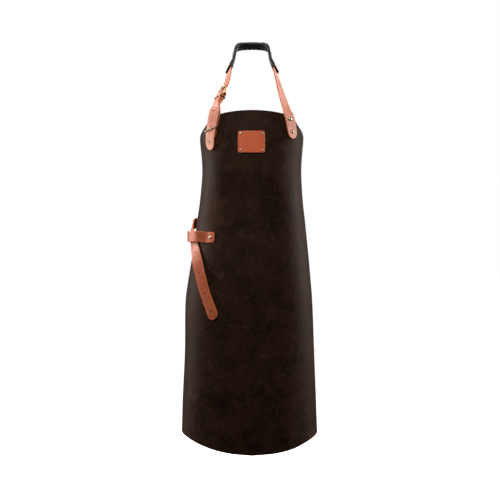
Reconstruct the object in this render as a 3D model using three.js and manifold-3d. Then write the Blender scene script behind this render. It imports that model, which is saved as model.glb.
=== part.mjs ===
// A leather work apron in its worn form. Millimetres, +Z up, the front faces -Y.
// The origin lies under the middle of the neck pad, at the nape of the wearer.
import * as THREE from 'three';
import { mergeVertices } from 'three/addons/utils/BufferGeometryUtils.js';
import Module from 'manifold-3d';

const wasm = await Module();
wasm.setup();

// Apron body: one leather sheet bent round the front and the sides of the torso.
const bodyHeight = 867;
const bodyTop = -189;
const wall = 2;
const patternHalf = 310;
const hipHalf = 180;
const bellyDepth = 135;
const squareness = 2.5;
const hemCurve = 62;
const crownFadeEnd = 0.2;
const hemFadeStart = 0.6;
const bodyColumns = 26;
const sectionSteps = 240;
const probe = 4;

// Torso sections under the sheet, from the top edge down.
// Columns: drop as a share of bodyHeight, left half width and right half width as shares
// of hipHalf, front depth and back depth as shares of bellyDepth.
const sections = [
  [0.0, 0.778, 0.761, 0.79, 0.7],
  [0.076, 0.756, 0.742, 0.85, 0.68],
  [0.166, 0.722, 0.711, 0.87, 0.66],
  [0.256, 0.753, 0.73, 0.84, 0.66],
  [0.317, 0.794, 0.762, 0.84, 0.66],
  [0.407, 0.85, 0.806, 0.89, 0.68],
  [0.467, 0.9, 0.833, 0.926, 0.72],
  [0.557, 0.961, 0.867, 0.945, 0.8],
  [0.707, 0.972, 0.894, 0.96, 0.95],
  [0.857, 1.006, 0.922, 0.985, 1.1],
  [1.0, 1.028, 0.95, 1.0, 1.25],
];

// Outline of the flat sheet: rounded bib corner, armhole, straight side, rounded lower corner.
// Columns: drop as a share of bodyHeight, half width as a share of patternHalf,
// number of grid rows down to the next line of the table.
const outline = [
  [0.018, 0.355, 1],
  [0.038, 0.4, 2],
  [0.056, 0.48, 1],
  [0.071, 0.575, 1],
  [0.09, 0.632, 5],
  [0.309, 1.0, 11],
  [0.95, 1.0, 1],
  [0.98, 0.985, 1],
  [1.0, 0.94, 0],
];

// Rise of the hem toward the sides.
// Columns: distance from the middle as a share of patternHalf, rise as a share of hemCurve.
const hem = [
  [0.0, 0.0],
  [0.18, 0.075],
  [0.33, 0.215],
  [0.42, 0.35],
  [0.575, 0.6],
  [0.79, 0.78],
  [1.0, 1.0],
];

// Straps: flat bands of thick leather.
const strapWidth = 29;
const strapThick = 3;
const strapStep = 10;
const foldStep = 3.6;
const bandTip = 0.4;
const layGap = 0.6;
const layerGap = 0.4;

// Rivets: a domed cap, a post and a flat back cap in one piece.
const rivetCap = 5;
const rivetDome = 2;
const rivetPost = 2;
const backCapThick = 1;
const fitGap = 0.3;
const seatGap = 0.45;
const backGap = 1.5;
const rivetSides = 8;

// Neck loop. The strap lies on the bib along a line that leans outward.
const neckDepth = 60;
const neckHalf = 60;
const neckDrop = 84;
const bibStrapTop = -206;
const bibStrapEnd = -260;
const bibStrapReach = 97;
const tongueShift = 2;
const bibStrapLean = 0.236;
const bibRivetDrops = [5, 36];
const hiddenRivetDrops = [9, 42];

// Right half of the pad's centre line from the nape to the cuff.
// Columns: place across, forward of the neck axis and up as shares of neckHalf, neckDepth
// and neckDrop, then the outward direction of the band.
const padRun = [
  [0.0, 1.0, 0.0, 0.0, 0.3, 0.95],
  [0.4, 0.95, 0.0, 0.16, 0.3, 0.94],
  [0.64, 0.74, -0.08, 0.6, 0.28, 0.75],
  [0.745, 0.44, -0.22, 0.9, 0.14, 0.4],
  [0.775, 0.06, -0.44, 0.98, 0.0, 0.2],
  [0.86, -0.32, -0.7, 0.96, -0.12, 0.2],
  [0.965, -0.66, -0.93, 0.93, -0.28, 0.2],
];

// Right strap between the cuff and the bib, same columns.
const rightRun = [
  [1.12, -0.88, -1.36, 0.88, -0.4, 0.3],
  [1.28, -1.14, -1.78, 0.78, -0.56, 0.34],
  [1.42, -1.38, -2.13, 0.68, -0.72, 0.16],
];

// Neck pad: a flat leather sleeve with flared cuffs.
const padWidth = 37;
const padWall = 1.5;
const padRoom = 0.9;
const padSides = 12;
const cuffFlare = 3.6;
const cuffLength = 34;

// Buckles: a wire frame hung on a folded strap, with a pin.
const frameWire = 1.7;
const frameHalf = 17.6;
const frameReach = 21;
const frameRise = 7;
const frameCorner = 2.6;
const pinWire = 1.2;
const wireSides = 6;
const cornerSteps = 2;
const loopCorner = 2.4;
const foldRoom = 0.6;
const foldRadius = frameWire + foldRoom + fitGap + strapThick / 2;
const flapLength = 27;
const pinSlot = 6;

// Neck buckle: place of its hinge bar, direction of the buckle strap and outward direction.
const neckHinge = [-77, -73.5, -149];
const neckHingeAlong = [-0.36, -0.42, -0.83];
const neckHingeFace = [-0.82, -0.34, 0.46];
const keeperDrop = 10;
const keeperWire = 1.1;
const ringDrop = 31;
const ringTurn = 0.32;
const tongueTip = -288;
const tongueHoleDrops = [-190, -231, -268];
const strapHole = 2.4;

// Label patch with four small rivets.
const labelWidth = 68;
const labelHeight = 56;
const labelThick = 2.4;
const labelCorner = 6;
const labelCentre = [-2, -270];
const labelRivetInset = 7;
const labelRivetCap = 3.5;
const labelRivetPost = 1.3;

// Waist strap with its tail in front, the tab that holds it and the hidden buckle behind.
const waistShare = 0.3264;
const waistLevel = bodyTop - waistShare * bodyHeight;
const tabWidth = 27;
const tabThick = 2.5;
const tabDrop = 35;
const tabLevel = waistLevel - tabDrop;
const tabFrontEnd = -97;
const tabRearEnd = -280;
const tabRivetInset = 12;
const waistBack = 108;
const waistRivetPlaces = [268, 290];
const waistAnchorRivets = [-256, -272];
const waistHingePlace = -300;
const hingeLift = 7;
const tailSide = (hipHalf * 5) / 6;
const tailFront = (bellyDepth * 20) / 27;
const tailDrop = 250;

// Waist strap from the left side through the tab to the tip of the tail.
// Columns: place across, forward and down from waistLevel as shares of tailSide, tailFront
// and tailDrop, then the outward direction of the band.
const tailRun = [
  [-1.0, 0.34, 0.0, -0.86, 0.5, 0.1],
  [-1.045, 0.08, -0.04, -0.92, 0.38, 0.1],
  [-1.04, -0.16, -0.13, -0.93, -0.3, 0.2],
  [-0.985, -0.58, -0.24, -0.66, -0.75, 0.05],
  [-0.935, -0.84, -0.38, -0.45, -0.89, 0.05],
  [-0.88, -0.98, -0.52, -0.45, -0.89, 0.05],
  [-0.785, -1.08, -0.73, -0.46, -0.89, 0.0],
  [-0.68, -1.17, -0.9, -0.42, -0.9, 0.0],
  [-0.645, -1.2, -0.98, -0.4, -0.9, 0.0],
];
const tailHoles = [0.31, 0.506, 0.719, 0.895];

// Colours and finishes.
const finishes = {
  body: [0x3a302b, 0.72, 0],
  strap: [0xc98a70, 0.55, 0],
  tail: [0x9a5236, 0.5, 0],
  label: [0xb95f36, 0.5, 0],
  pad: [0x1d1b1b, 0.6, 0],
  brass: [0x8a6a3a, 0.35, 1],
  nickel: [0xb9b4aa, 0.3, 1],
};

const apron = new THREE.Group();
apron.name = 'leather_apron';

function vec(values) {
  return new THREE.Vector3(...values);
}

// Smooth reading of a table at a value of its first column.
function rowAt(table, key) {
  const last = table.length - 1;
  const held = Math.min(Math.max(key, table[0][0]), table[last][0]);
  let i = 0;
  while (i < last - 1 && held > table[i + 1][0]) i += 1;
  const span = table[i + 1][0] - table[i][0];
  const t = (held - table[i][0]) / span;
  const slope = (k, c) => {
    const a = table[Math.max(k - 1, 0)];
    const b = table[Math.min(k + 1, last)];
    return (b[c] - a[c]) / (b[0] - a[0]);
  };
  return table[i].map((start, c) => {
    const end = table[i + 1][c];
    const h = t * t * (3 - 2 * t);
    const into = t * (1 - t) * (1 - t) * span * slope(i, c);
    const out = t * t * (t - 1) * span * slope(i + 1, c);
    return start + h * (end - start) + into + out;
  });
}

function smooth(low, high, value) {
  return THREE.MathUtils.smoothstep(value, low, high);
}

// Point of the section at height z that lies at arc length s from the middle.
function onSection(s, z) {
  const [, left, right, front, back] = rowAt(sections, (bodyTop - z) / bodyHeight);
  const half = (s < 0 ? left : right) * hipHalf;
  const power = 2 / squareness;
  let run = 0;
  let was = new THREE.Vector2(0, -front * bellyDepth);
  let at = was;
  for (let i = 1; i <= sectionSteps && run < Math.abs(s); i += 1) {
    const angle = (Math.PI * i) / sectionSteps;
    const depth = (angle < Math.PI / 2 ? front : back) * bellyDepth;
    const c = Math.cos(angle);
    const next = new THREE.Vector2(
      half * Math.sin(angle) ** power,
      -Math.sign(c) * depth * Math.abs(c) ** power,
    );
    const step = next.distanceTo(was);
    at = was.clone().lerp(next, Math.min(1, (Math.abs(s) - run) / step));
    run += step;
    was = next;
  }
  return new THREE.Vector3(s < 0 ? -at.x : at.x, at.y, z);
}

// Place on the outer face of the sheet, raised along its outward direction.
function onTorso(s, z, lift = 0) {
  const across = onSection(s + probe, z).sub(onSection(s - probe, z));
  const upward = onSection(s, z + probe).sub(onSection(s, z - probe));
  const out = across.cross(upward).normalize();
  return { point: onSection(s, z).addScaledVector(out, lift), out };
}

// Skin over a row of rings with equal point counts. An open row gets a cap at each end.
function skin(rings, closed) {
  const count = rings[0].length;
  const positions = rings.flat().flatMap((p) => [p.x, p.y, p.z]);
  const index = [];
  const quad = (a, b, c, d) => index.push(a, b, c, a, c, d);
  const last = closed ? rings.length : rings.length - 1;
  for (let i = 0; i < last; i += 1) {
    const here = i * count;
    const there = ((i + 1) % rings.length) * count;
    for (let j = 0; j < count; j += 1) {
      const k = (j + 1) % count;
      quad(here + j, here + k, there + k, there + j);
    }
  }
  if (!closed) {
    const end = (rings.length - 1) * count;
    for (let j = 0; j < count / 2 - 1; j += 1) {
      const far = count - 1 - j;
      quad(j, far, far - 1, j + 1);
      quad(end + j, end + j + 1, end + far - 1, end + far);
    }
  }
  const geometry = new THREE.BufferGeometry();
  geometry.setAttribute('position', new THREE.Float32BufferAttribute(positions, 3));
  geometry.setIndex(index);
  return outward(geometry);
}

// Turns the faces of a closed geometry outward.
function outward(geometry) {
  const p = geometry.getAttribute('position');
  const index = geometry.getIndex().array;
  let volume = 0;
  for (let i = 0; i < index.length; i += 3) {
    const [a, b, c] = [0, 1, 2].map((k) =>
      new THREE.Vector3().fromBufferAttribute(p, index[i + k]));
    volume += a.dot(b.cross(c));
  }
  if (volume < 0) geometry.setIndex(Array.from(index).reverse());
  return geometry;
}

function solidOf(geometry) {
  const bare = geometry.clone();
  bare.deleteAttribute('normal');
  bare.deleteAttribute('uv');
  const merged = mergeVertices(bare, 1e-3);
  return new wasm.Manifold(new wasm.Mesh({
    numProp: 3,
    vertProperties: merged.getAttribute('position').array,
    triVerts: new Uint32Array(merged.getIndex().array),
  }));
}

function geometryOf(solid) {
  const mesh = solid.getMesh();
  const geometry = new THREE.BufferGeometry();
  geometry.setAttribute('position', new THREE.BufferAttribute(mesh.vertProperties, 3));
  geometry.setIndex(new THREE.BufferAttribute(mesh.triVerts, 1));
  return geometry;
}

function without(geometry, cutters) {
  return geometryOf(cutters.reduce((left, cut) => left.subtract(solidOf(cut)), solidOf(geometry)));
}

function joined(geometries) {
  const [first, ...rest] = geometries.map(solidOf);
  return geometryOf(rest.reduce((sum, next) => sum.add(next), first));
}

// Cutter for a round hole through a place along a direction.
function holeCutter({ point, out }, radius) {
  const depth = 24;
  const cutter = new THREE.CylinderGeometry(radius, radius, depth, rivetSides);
  const turn = new THREE.Quaternion().setFromUnitVectors(new THREE.Vector3(0, 1, 0), out);
  return cutter.applyQuaternion(turn).translate(point.x, point.y, point.z);
}

function piece(name, geometry, finish) {
  const [color, roughness, metalness] = finishes[finish];
  const material = new THREE.MeshStandardMaterial({ color, roughness, metalness });
  geometry.computeVertexNormals();
  const mesh = new THREE.Mesh(geometry, material);
  mesh.name = name;
  apron.add(mesh);
}

// Rivet whose domed cap rests at a place and whose back cap closes the stack below it.
function rivet(name, { point, out }, stack, cap = rivetCap, post = rivetPost) {
  const dome = (rivetDome * cap) / rivetCap;
  const profile = [
    [0, dome],
    [cap * 0.7, dome * 0.7],
    [cap, 0],
    [post, 0],
    [post, -stack],
    [cap * 0.8, -stack],
    [cap * 0.8, -stack - backCapThick],
    [0, -stack - backCapThick],
  ].map(([x, y]) => new THREE.Vector2(x, y));
  const body = new THREE.LatheGeometry(profile.reverse(), rivetSides);
  const turn = new THREE.Quaternion().setFromUnitVectors(new THREE.Vector3(0, 1, 0), out);
  body.applyQuaternion(turn).translate(point.x, point.y, point.z);
  piece(name, geometryOf(solidOf(body)), 'nickel');
}

// Centre line of a band: places joined by a smooth curve, each with an outward direction.
class Run {
  constructor(rows) {
    this.path = new THREE.CatmullRomCurve3(rows.map((r) => r.point), false, 'centripetal');
    this.faces = new THREE.CatmullRomCurve3(rows.map((r) => r.out));
    this.path.arcLengthDivisions = 600;
    this.length = this.path.getLength();
  }

  // Frame at a distance from the start.
  at(distance) {
    const u = Math.min(Math.max(distance / this.length, 0), 1);
    const point = this.path.getPointAt(u);
    const along = this.path.getTangentAt(u);
    const face = this.faces.getPoint(this.path.getUtoTmapping(u));
    const across = face.clone().cross(along).normalize();
    const out = along.clone().cross(across).normalize();
    return { point, along, across, out };
  }

  // First distance past a share of the length where a test no longer holds.
  seek(share, holds) {
    let low = this.length * share;
    let high = this.length;
    for (let i = 0; i < 30; i += 1) {
      const mid = (low + high) / 2;
      if (holds(mid)) low = mid;
      else high = mid;
    }
    return low;
  }

  // Frame where the run crosses a height, on its way down.
  atHeight(z, share = 0.5) {
    return this.at(this.seek(share, (distance) => this.at(distance).point.z > z));
  }

  // Distance of a row of the run.
  ofRow(index) {
    const t = index / (this.path.points.length - 1);
    return this.seek(0, (distance) => this.path.getUtoTmapping(distance / this.length) < t);
  }
}

// Half width of a band at a distance, rounded off at the ends that are asked for.
function halfAt(distance, length, half, round, roundStart, roundEnd) {
  const gaps = [
    roundStart ? distance : round,
    roundEnd ? length - distance : round,
  ];
  const gap = Math.min(...gaps, round);
  const inset = round - Math.sqrt(Math.max(0, round ** 2 - (round - gap) ** 2));
  return half - inset;
}

// Evenly spaced distances along a run.
function stations(run, step) {
  const count = Math.ceil(run.length / step);
  return Array.from({ length: count + 1 }, (_, i) => (run.length * i) / count);
}

// Flat band along a run.
function band(run, width, thick, { roundStart = 0, roundEnd = 0, step = strapStep } = {}) {
  const places = new Set(stations(run, step));
  [0.04, 0.15, 0.4, 0.75].forEach((share) => {
    if (roundStart) places.add(roundStart * share);
    if (roundEnd) places.add(run.length - roundEnd * share);
  });
  const round = Math.max(roundStart, roundEnd, 0.001);
  const rings = [...places].sort((a, b) => a - b).map((distance) => {
    const { point, across, out } = run.at(distance);
    const half = Math.max(
      halfAt(distance, run.length, width / 2, round, roundStart > 0, roundEnd > 0),
      bandTip,
    );
    const corner = (w, n) =>
      point.clone().addScaledVector(across, w * half).addScaledVector(out, (n * thick) / 2);
    return [corner(-1, 1), corner(1, 1), corner(1, -1), corner(-1, -1)];
  });
  return skin(rings, false);
}

// Round wire along a flat line of points that lie in a plane with the given normal.
function wire(points, normal, radius, closed) {
  const last = points.length - 1;
  const rings = points.map((p, i) => {
    const before = points[i === 0 ? (closed ? last : 0) : i - 1];
    const after = points[i === last ? (closed ? 0 : last) : i + 1];
    const side = after.clone().sub(before).normalize().cross(normal).normalize();
    return Array.from({ length: wireSides }, (_, k) => {
      const angle = (2 * Math.PI * k) / wireSides;
      return p.clone()
        .addScaledVector(side, radius * Math.cos(angle))
        .addScaledVector(normal, radius * Math.sin(angle));
    });
  });
  return skin(rings, closed);
}

// Closed wire loop: a rounded rectangle of the given half sizes in the plane of two axes.
function wireLoop(centre, across, up, half, rise, corner, radius) {
  const points = [];
  const turns = [[1, 1], [-1, 1], [-1, -1], [1, -1]];
  turns.forEach(([sx, sy], quarter) => {
    for (let k = 0; k <= cornerSteps; k += 1) {
      const angle = (Math.PI / 2) * (quarter + k / cornerSteps);
      points.push(centre.clone()
        .addScaledVector(across, sx * (half - corner) + corner * Math.cos(angle))
        .addScaledVector(up, sy * (rise - corner) + corner * Math.sin(angle)));
    }
  });
  return wire(points, across.clone().cross(up).normalize(), radius, true);
}

// Apron body.
function bodyGeometry() {
  const rows = [];
  outline.forEach(([drop, half, count], i) => {
    const next = outline[Math.min(i + 1, outline.length - 1)];
    for (let k = 0; k < Math.max(count, 1); k += 1) {
      const t = count ? k / count : 0;
      rows.push([drop + (next[0] - drop) * t, half + (next[1] - half) * t]);
    }
  });
  const crown = outline[0][0];
  const rings = rows.map(([drop, half]) => {
    const outer = [];
    const inner = [];
    for (let j = 0; j <= bodyColumns; j += 1) {
      const u = (2 * j) / bodyColumns - 1;
      const s = u * half * patternHalf;
      const raise = crown * (1 - u * u) * (1 - smooth(crown, crownFadeEnd, drop));
      const rise = rowAt(hem, Math.abs(u) * half)[1] * hemCurve * smooth(hemFadeStart, 1, drop);
      const z = bodyTop - (drop - raise) * bodyHeight + rise;
      outer.push(onTorso(s, z).point);
      inner.unshift(onTorso(s, z, -wall).point);
    }
    return [...outer, ...inner];
  });
  return skin(rings, false);
}

// Place on the bib along the line of a neck strap, on the left (-1) or the right (1).
function onBib(side, z, lift, shift = 0) {
  const reach = bibStrapReach + (bibStrapTop - z) * bibStrapLean;
  return onTorso(side * reach + shift, z, lift);
}

function neckRow([x, y, z, nx, ny, nz], side) {
  return {
    point: new THREE.Vector3(side * x * neckHalf, y * neckDepth, z * neckDrop),
    out: new THREE.Vector3(side * nx, ny, nz),
  };
}

// Frame of a buckle: hinge bar place with directions along, across and out.
function hingeFrame(point, along, out) {
  const down = along.clone().normalize();
  const across = out.clone().cross(down).normalize();
  return { point, along: down, across, out: down.clone().cross(across).normalize() };
}

// Place in the frame of a buckle, t along the buckle strap and n outward.
function inFrame(frame, t, n) {
  return {
    point: frame.point.clone().addScaledVector(frame.along, t).addScaledVector(frame.out, n),
    out: frame.out.clone(),
  };
}

// Rows of a buckle strap's folded end, from the end of the flap round the hinge bar.
function foldRows(frame) {
  const layer = strapThick / 2 + layerGap / 2;
  const rows = [inFrame(frame, flapLength, -layer), inFrame(frame, 15, -layer)];
  rows.push(inFrame(frame, 7.5, -layer - 0.5));
  for (let k = 0; k <= 6; k += 1) {
    const angle = -Math.PI * (0.42 + (1.16 * k) / 6);
    const row = inFrame(frame, foldRadius * Math.cos(angle), foldRadius * Math.sin(angle));
    row.out = row.point.clone().sub(frame.point).normalize();
    rows.push(row);
  }
  rows.forEach((row, i) => {
    if (i < 3) row.out.negate();
  });
  return [...rows, inFrame(frame, 7.5, layer + 0.5), inFrame(frame, 15, layer)];
}

function frameLoop(frame, reach, rise) {
  const lean = frame.along.clone().multiplyScalar(-reach).addScaledVector(frame.out, rise);
  const centre = frame.point.clone().addScaledVector(lean, 0.5);
  const half = lean.length() / 2;
  return wireLoop(centre, frame.across, lean.normalize(), frameHalf, half, frameCorner, frameWire);
}

// Pin hooked round the hinge bar, with its point on the far bar.
function pinPoints(frame, reach, rise) {
  const hook = frameWire + fitGap + 0.2 + pinWire;
  const turns = [-0.75, -0.5, -0.25, 0, 0.25, 0.45];
  const points = turns.map((turn) => {
    const angle = Math.PI * turn;
    return inFrame(frame, hook * Math.cos(angle), hook * Math.sin(angle)).point;
  });
  points.push(inFrame(frame, -reach * 0.5, (hook + rise + hook) / 2 + 0.4).point);
  points.push(inFrame(frame, -reach - 1.5, rise + hook).point);
  return points;
}

// Slot in the fold of a buckle strap that leaves room for the pin.
function slotCutter(frame) {
  const size = foldRadius * 4;
  const cutter = new THREE.BoxGeometry(size, pinSlot, size);
  const turn = new THREE.Matrix4().makeBasis(frame.along, frame.across, frame.out);
  return cutter.applyMatrix4(turn).translate(frame.point.x, frame.point.y, frame.point.z);
}

// Neck straps.
const cuff = padRun.map((row) => neckRow(row, 1));
const leftCuff = padRun.slice(1).map((row) => neckRow(row, -1)).reverse();
const underLift = layGap + strapThick / 2;
const tongueStep = strapThick + layerGap;
const neckFrame = hingeFrame(vec(neckHinge), vec(neckHingeAlong), vec(neckHingeFace));

function bibRows(side, lifts, shift = 0) {
  return lifts.map(([z, lift]) => onBib(side, z, lift, shift));
}

const rightStrapDown = [
  ...rightRun.map((row) => neckRow(row, 1)),
  ...bibRows(1, [
    [-196, underLift + 0.4],
    [-212, underLift],
    [-236, underLift],
    [bibStrapEnd, underLift],
  ]),
];
const buckleStrapRun = new Run([
  ...foldRows(neckFrame),
  inFrame(neckFrame, 30, 1.6),
  ...bibRows(-1, [
    [-196, underLift + 0.6],
    [-212, underLift],
    [-236, underLift],
    [bibStrapEnd, underLift],
  ]),
]);

// Place over the buckle strap at a height, raised by a gap and one layer.
function overStrap(z, gap) {
  const { point, across, out } = buckleStrapRun.atHeight(z, 0.4);
  const over = point.clone().addScaledVector(out, strapThick + gap);
  return { point: over.addScaledVector(across, tongueShift), out };
}

const ringSlack = fitGap + 0.5;
const ringRoom = 2 * keeperWire + ringSlack + 2 * fitGap;
const tongueUnderBar = frameRise - frameWire - fitGap - strapThick / 2 - 1;
const tongueOver = [
  inFrame(neckFrame, -frameReach, tongueUnderBar),
  inFrame(neckFrame, -9, 6.8),
  inFrame(neckFrame, 1, foldRadius + strapThick + layerGap + 0.5),
  inFrame(neckFrame, 12, 6.6),
  overStrap(-172, layerGap + 1.2),
  overStrap(-190, layerGap + 1.8),
  overStrap(-206, ringRoom),
  overStrap(-224, ringRoom),
  overStrap(-244, ringRoom),
  overStrap(-256, ringRoom - 0.2),
];
const cuffRows = [...cuff.slice().reverse(), ...leftCuff.slice().reverse()];
const neckStrapRun = new Run([
  ...rightStrapDown.slice().reverse(),
  ...cuffRows,
  neckRow([1.06, -0.85, -1.25, 0.88, -0.4, 0.3], -1),
  ...tongueOver,
  ...bibRows(-1, [[-274, underLift + 2.2], [tongueTip, underLift + 0.4]], tongueShift),
]);
const padStart = neckStrapRun.ofRow(rightStrapDown.length);
const padEnd = neckStrapRun.ofRow(rightStrapDown.length + cuffRows.length - 1);

// The underside of the pad's middle is the origin of the part.
const nape = neckStrapRun.at((padStart + padEnd) / 2);
const underside = nape.point.addScaledVector(nape.out, -strapThick / 2 - padRoom - padWall);
apron.position.set(0, -underside.y, -underside.z);

function padGeometry() {
  const insideHalf = padWidth / 2 - padWall;
  const insideRise = strapThick / 2 + padRoom;
  const between = stations(neckStrapRun, strapStep)
    .filter((distance) => distance > padStart + 2 && distance < padEnd - 2);
  const ringsOf = (grow) => [padStart, ...between, padEnd].map((distance) => {
    const { point, across, out } = neckStrapRun.at(distance);
    const fromEnd = Math.min(distance - padStart, padEnd - distance);
    const flare = cuffFlare * (1 - smooth(0, cuffLength, fromEnd));
    return Array.from({ length: padSides }, (_unused, k) => {
      const angle = (2 * Math.PI * (k + 0.5)) / padSides;
      const c = Math.cos(angle);
      const s = Math.sin(angle);
      const w = Math.sign(c) * Math.abs(c) ** 0.4 * (insideHalf + grow);
      const rise = insideRise + grow + (s > 0 ? flare : 0);
      const n = Math.sign(s) * Math.abs(s) ** 0.6 * rise;
      return point.clone().addScaledVector(across, w).addScaledVector(out, n);
    });
  });
  return skin([...ringsOf(padWall), ...ringsOf(0).reverse()], true);
}

const bodyHoles = [];
const strapRivetStack = wall + layGap + strapThick + seatGap + backGap;

function strapRivets(side, drops, label) {
  drops.map((drop) => onBib(side, bibStrapTop - drop, 0)).forEach((place, i) => {
    const cap = layGap + strapThick + seatGap;
    bodyHoles.push(place);
    const seat = { point: place.point.clone().addScaledVector(place.out, cap), out: place.out };
    rivet(`neck_rivet_${label}_${i + 1}`, seat, strapRivetStack);
  });
}

const postHole = rivetPost + fitGap;
const bibHoles = (side, drops) => drops.map((drop) =>
  holeCutter(onBib(side, bibStrapTop - drop, 0), postHole));

strapRivets(1, bibRivetDrops, 'right');
strapRivets(-1, hiddenRivetDrops, 'left');

const neckPinPoints = pinPoints(neckFrame, frameReach, frameRise);
const pinRoom = wire(neckPinPoints.slice(5), neckFrame.across, pinWire + 0.9, false);
const tongueHoles = tongueHoleDrops.map((z) => holeCutter(neckStrapRun.atHeight(z), strapHole));
const neckStrap = band(neckStrapRun, strapWidth, strapThick, { roundStart: 9, roundEnd: 15 });
piece('neck_strap', without(neckStrap, [...tongueHoles, ...bibHoles(1, bibRivetDrops), pinRoom]), 'strap');
piece('neck_pad', padGeometry(), 'pad');

const buckleStrap = band(buckleStrapRun, strapWidth, strapThick, { roundEnd: 9, step: foldStep });
piece(
  'neck_buckle_strap',
  without(buckleStrap, [...bibHoles(-1, hiddenRivetDrops), slotCutter(neckFrame)]),
  'strap',
);
piece('neck_buckle', frameLoop(neckFrame, frameReach, frameRise), 'brass');
piece('neck_buckle_pin', wire(neckPinPoints, neckFrame.across, pinWire, false), 'brass');

const keeperLow = -strapThick - layerGap / 2 - 2 * fitGap - 0.2 - keeperWire;
const keeperHigh = 6.8 + strapThick / 2 + fitGap + keeperWire + 0.5;
const keeperAt = inFrame(neckFrame, keeperDrop, (keeperLow + keeperHigh) / 2).point;
piece(
  'neck_keeper',
  wireLoop(
    keeperAt,
    neckFrame.across,
    neckFrame.out,
    strapWidth / 2 + keeperWire + 1,
    (keeperHigh - keeperLow) / 2,
    loopCorner,
    keeperWire,
  ),
  'brass',
);

const ringFrame = neckStrapRun.atHeight(bibStrapTop - ringDrop);
const ringAcross = ringFrame.across.clone().applyAxisAngle(ringFrame.out, ringTurn);
piece(
  'neck_ring',
  wireLoop(
    ringFrame.point,
    ringAcross,
    ringFrame.out,
    (strapWidth / 2 + keeperWire + 1) / Math.cos(ringTurn),
    strapThick / 2 + ringSlack + keeperWire,
    loopCorner,
    keeperWire,
  ),
  'nickel',
);

// Label patch.
const [labelX, labelZ] = labelCentre;
const labelRun = new Run([-1, -0.5, 0, 0.5, 1].map((share) =>
  onTorso(labelX + (share * labelWidth) / 2, labelZ, layGap + labelThick / 2)));
const labelPlaces = [[-1, 1], [1, 1], [-1, -1], [1, -1]].map(([sx, sz]) =>
  onTorso(
    labelX + sx * (labelWidth / 2 - labelRivetInset),
    labelZ + sz * (labelHeight / 2 - labelRivetInset),
  ));
const labelHole = labelRivetPost + fitGap;
const label = band(labelRun, labelHeight, labelThick, {
  roundStart: labelCorner,
  roundEnd: labelCorner,
});
piece(
  'label_patch',
  without(label, labelPlaces.map((place) => holeCutter(place, labelHole))),
  'label',
);
labelPlaces.forEach(({ point, out }, i) => {
  const cap = layGap + labelThick + seatGap;
  const seat = { point: point.clone().addScaledVector(out, cap), out };
  const stack = cap + wall + backGap;
  rivet(`label_rivet_${i + 1}`, seat, stack, labelRivetCap, labelRivetPost);
});

// Waist strap, riveted on the right, round the back, through the buckle and the tab.
function tailRow([x, y, z, nx, ny, nz]) {
  return {
    point: new THREE.Vector3(x * tailSide, y * tailFront, waistLevel + z * tailDrop),
    out: new THREE.Vector3(nx, ny, nz),
  };
}

const hingeSeat = onTorso(waistHingePlace, waistLevel, hingeLift);
const hingeNext = onTorso(waistHingePlace + 20, waistLevel, hingeLift);
const waistFrame = hingeFrame(
  hingeSeat.point,
  hingeNext.point.clone().sub(hingeSeat.point),
  hingeSeat.out,
);
const waistRise = 6;
const waistStrapRun = new Run([
  ...[256, 270, 284, 300].map((s) => onTorso(s, waistLevel, underLift)),
  ...[0.55, 0, -0.5].map((share) => ({
    point: new THREE.Vector3(share * waistBack, waistBack - 14 * share ** 2, waistLevel),
    out: new THREE.Vector3(0.3 * share, 1, 0).normalize(),
  })),
  inFrame(waistFrame, -frameReach, waistRise - frameWire - fitGap - strapThick / 2 - 0.9),
  inFrame(waistFrame, -9, 5.8),
  inFrame(waistFrame, 1, 7.4),
  inFrame(waistFrame, 14, 7),
  onTorso(waistHingePlace + 38, waistLevel, underLift + tongueStep + 4),
  ...tailRun.map(tailRow),
]);
const waistPinPoints = pinPoints(waistFrame, frameReach, waistRise);
const waistPinRoom = wire(waistPinPoints.slice(5), waistFrame.across, pinWire + 1.3, false);
const waistHoles = waistRivetPlaces.map((s) => onTorso(s, waistLevel));
const tailFrames = tailHoles.map((share) =>
  waistStrapRun.atHeight(waistLevel - share * tailDrop));
const waistStrap = band(waistStrapRun, strapWidth - 1, strapThick, { roundStart: 9, roundEnd: 14 });
piece(
  'waist_strap',
  without(waistStrap, [
    ...tailFrames.map((frame) => holeCutter(frame, strapHole)),
    ...waistHoles.map((place) => holeCutter(place, postHole)),
    waistPinRoom,
  ]),
  'tail',
);

function waistRivets(places, label) {
  places.forEach(({ point, out }, i) => {
    const cap = layGap + strapThick + seatGap;
    bodyHoles.push({ point, out });
    const seat = { point: point.clone().addScaledVector(out, cap), out };
    rivet(`waist_rivet_${label}_${i + 1}`, seat, strapRivetStack);
  });
}

waistRivets(waistHoles, 'right');
const anchorPlaces = waistAnchorRivets.map((s) => onTorso(s, waistLevel));
waistRivets(anchorPlaces, 'left');
const anchorRun = new Run([
  ...foldRows(waistFrame).slice(1),
  ...[-276, -264, -250, -244].map((s) => onTorso(s, waistLevel, underLift)),
]);
const anchorStrap = band(anchorRun, strapWidth - 1, strapThick, { roundEnd: 9, step: foldStep });
piece(
  'waist_buckle_strap',
  without(anchorStrap, [
    ...anchorPlaces.map((place) => holeCutter(place, postHole)),
    slotCutter(waistFrame),
  ]),
  'tail',
);
const waistBuckle = joined([
  frameLoop(waistFrame, frameReach, waistRise),
  wire(
    [
      inFrame(waistFrame, 0, 0.4).point,
      inFrame(waistFrame, -frameReach * 0.5, 6.6).point,
      inFrame(waistFrame, -frameReach - 1.5, waistRise + frameWire + 0.6).point,
    ],
    waistFrame.across,
    pinWire,
    false,
  ),
]);
piece('waist_buckle', waistBuckle, 'brass');

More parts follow.
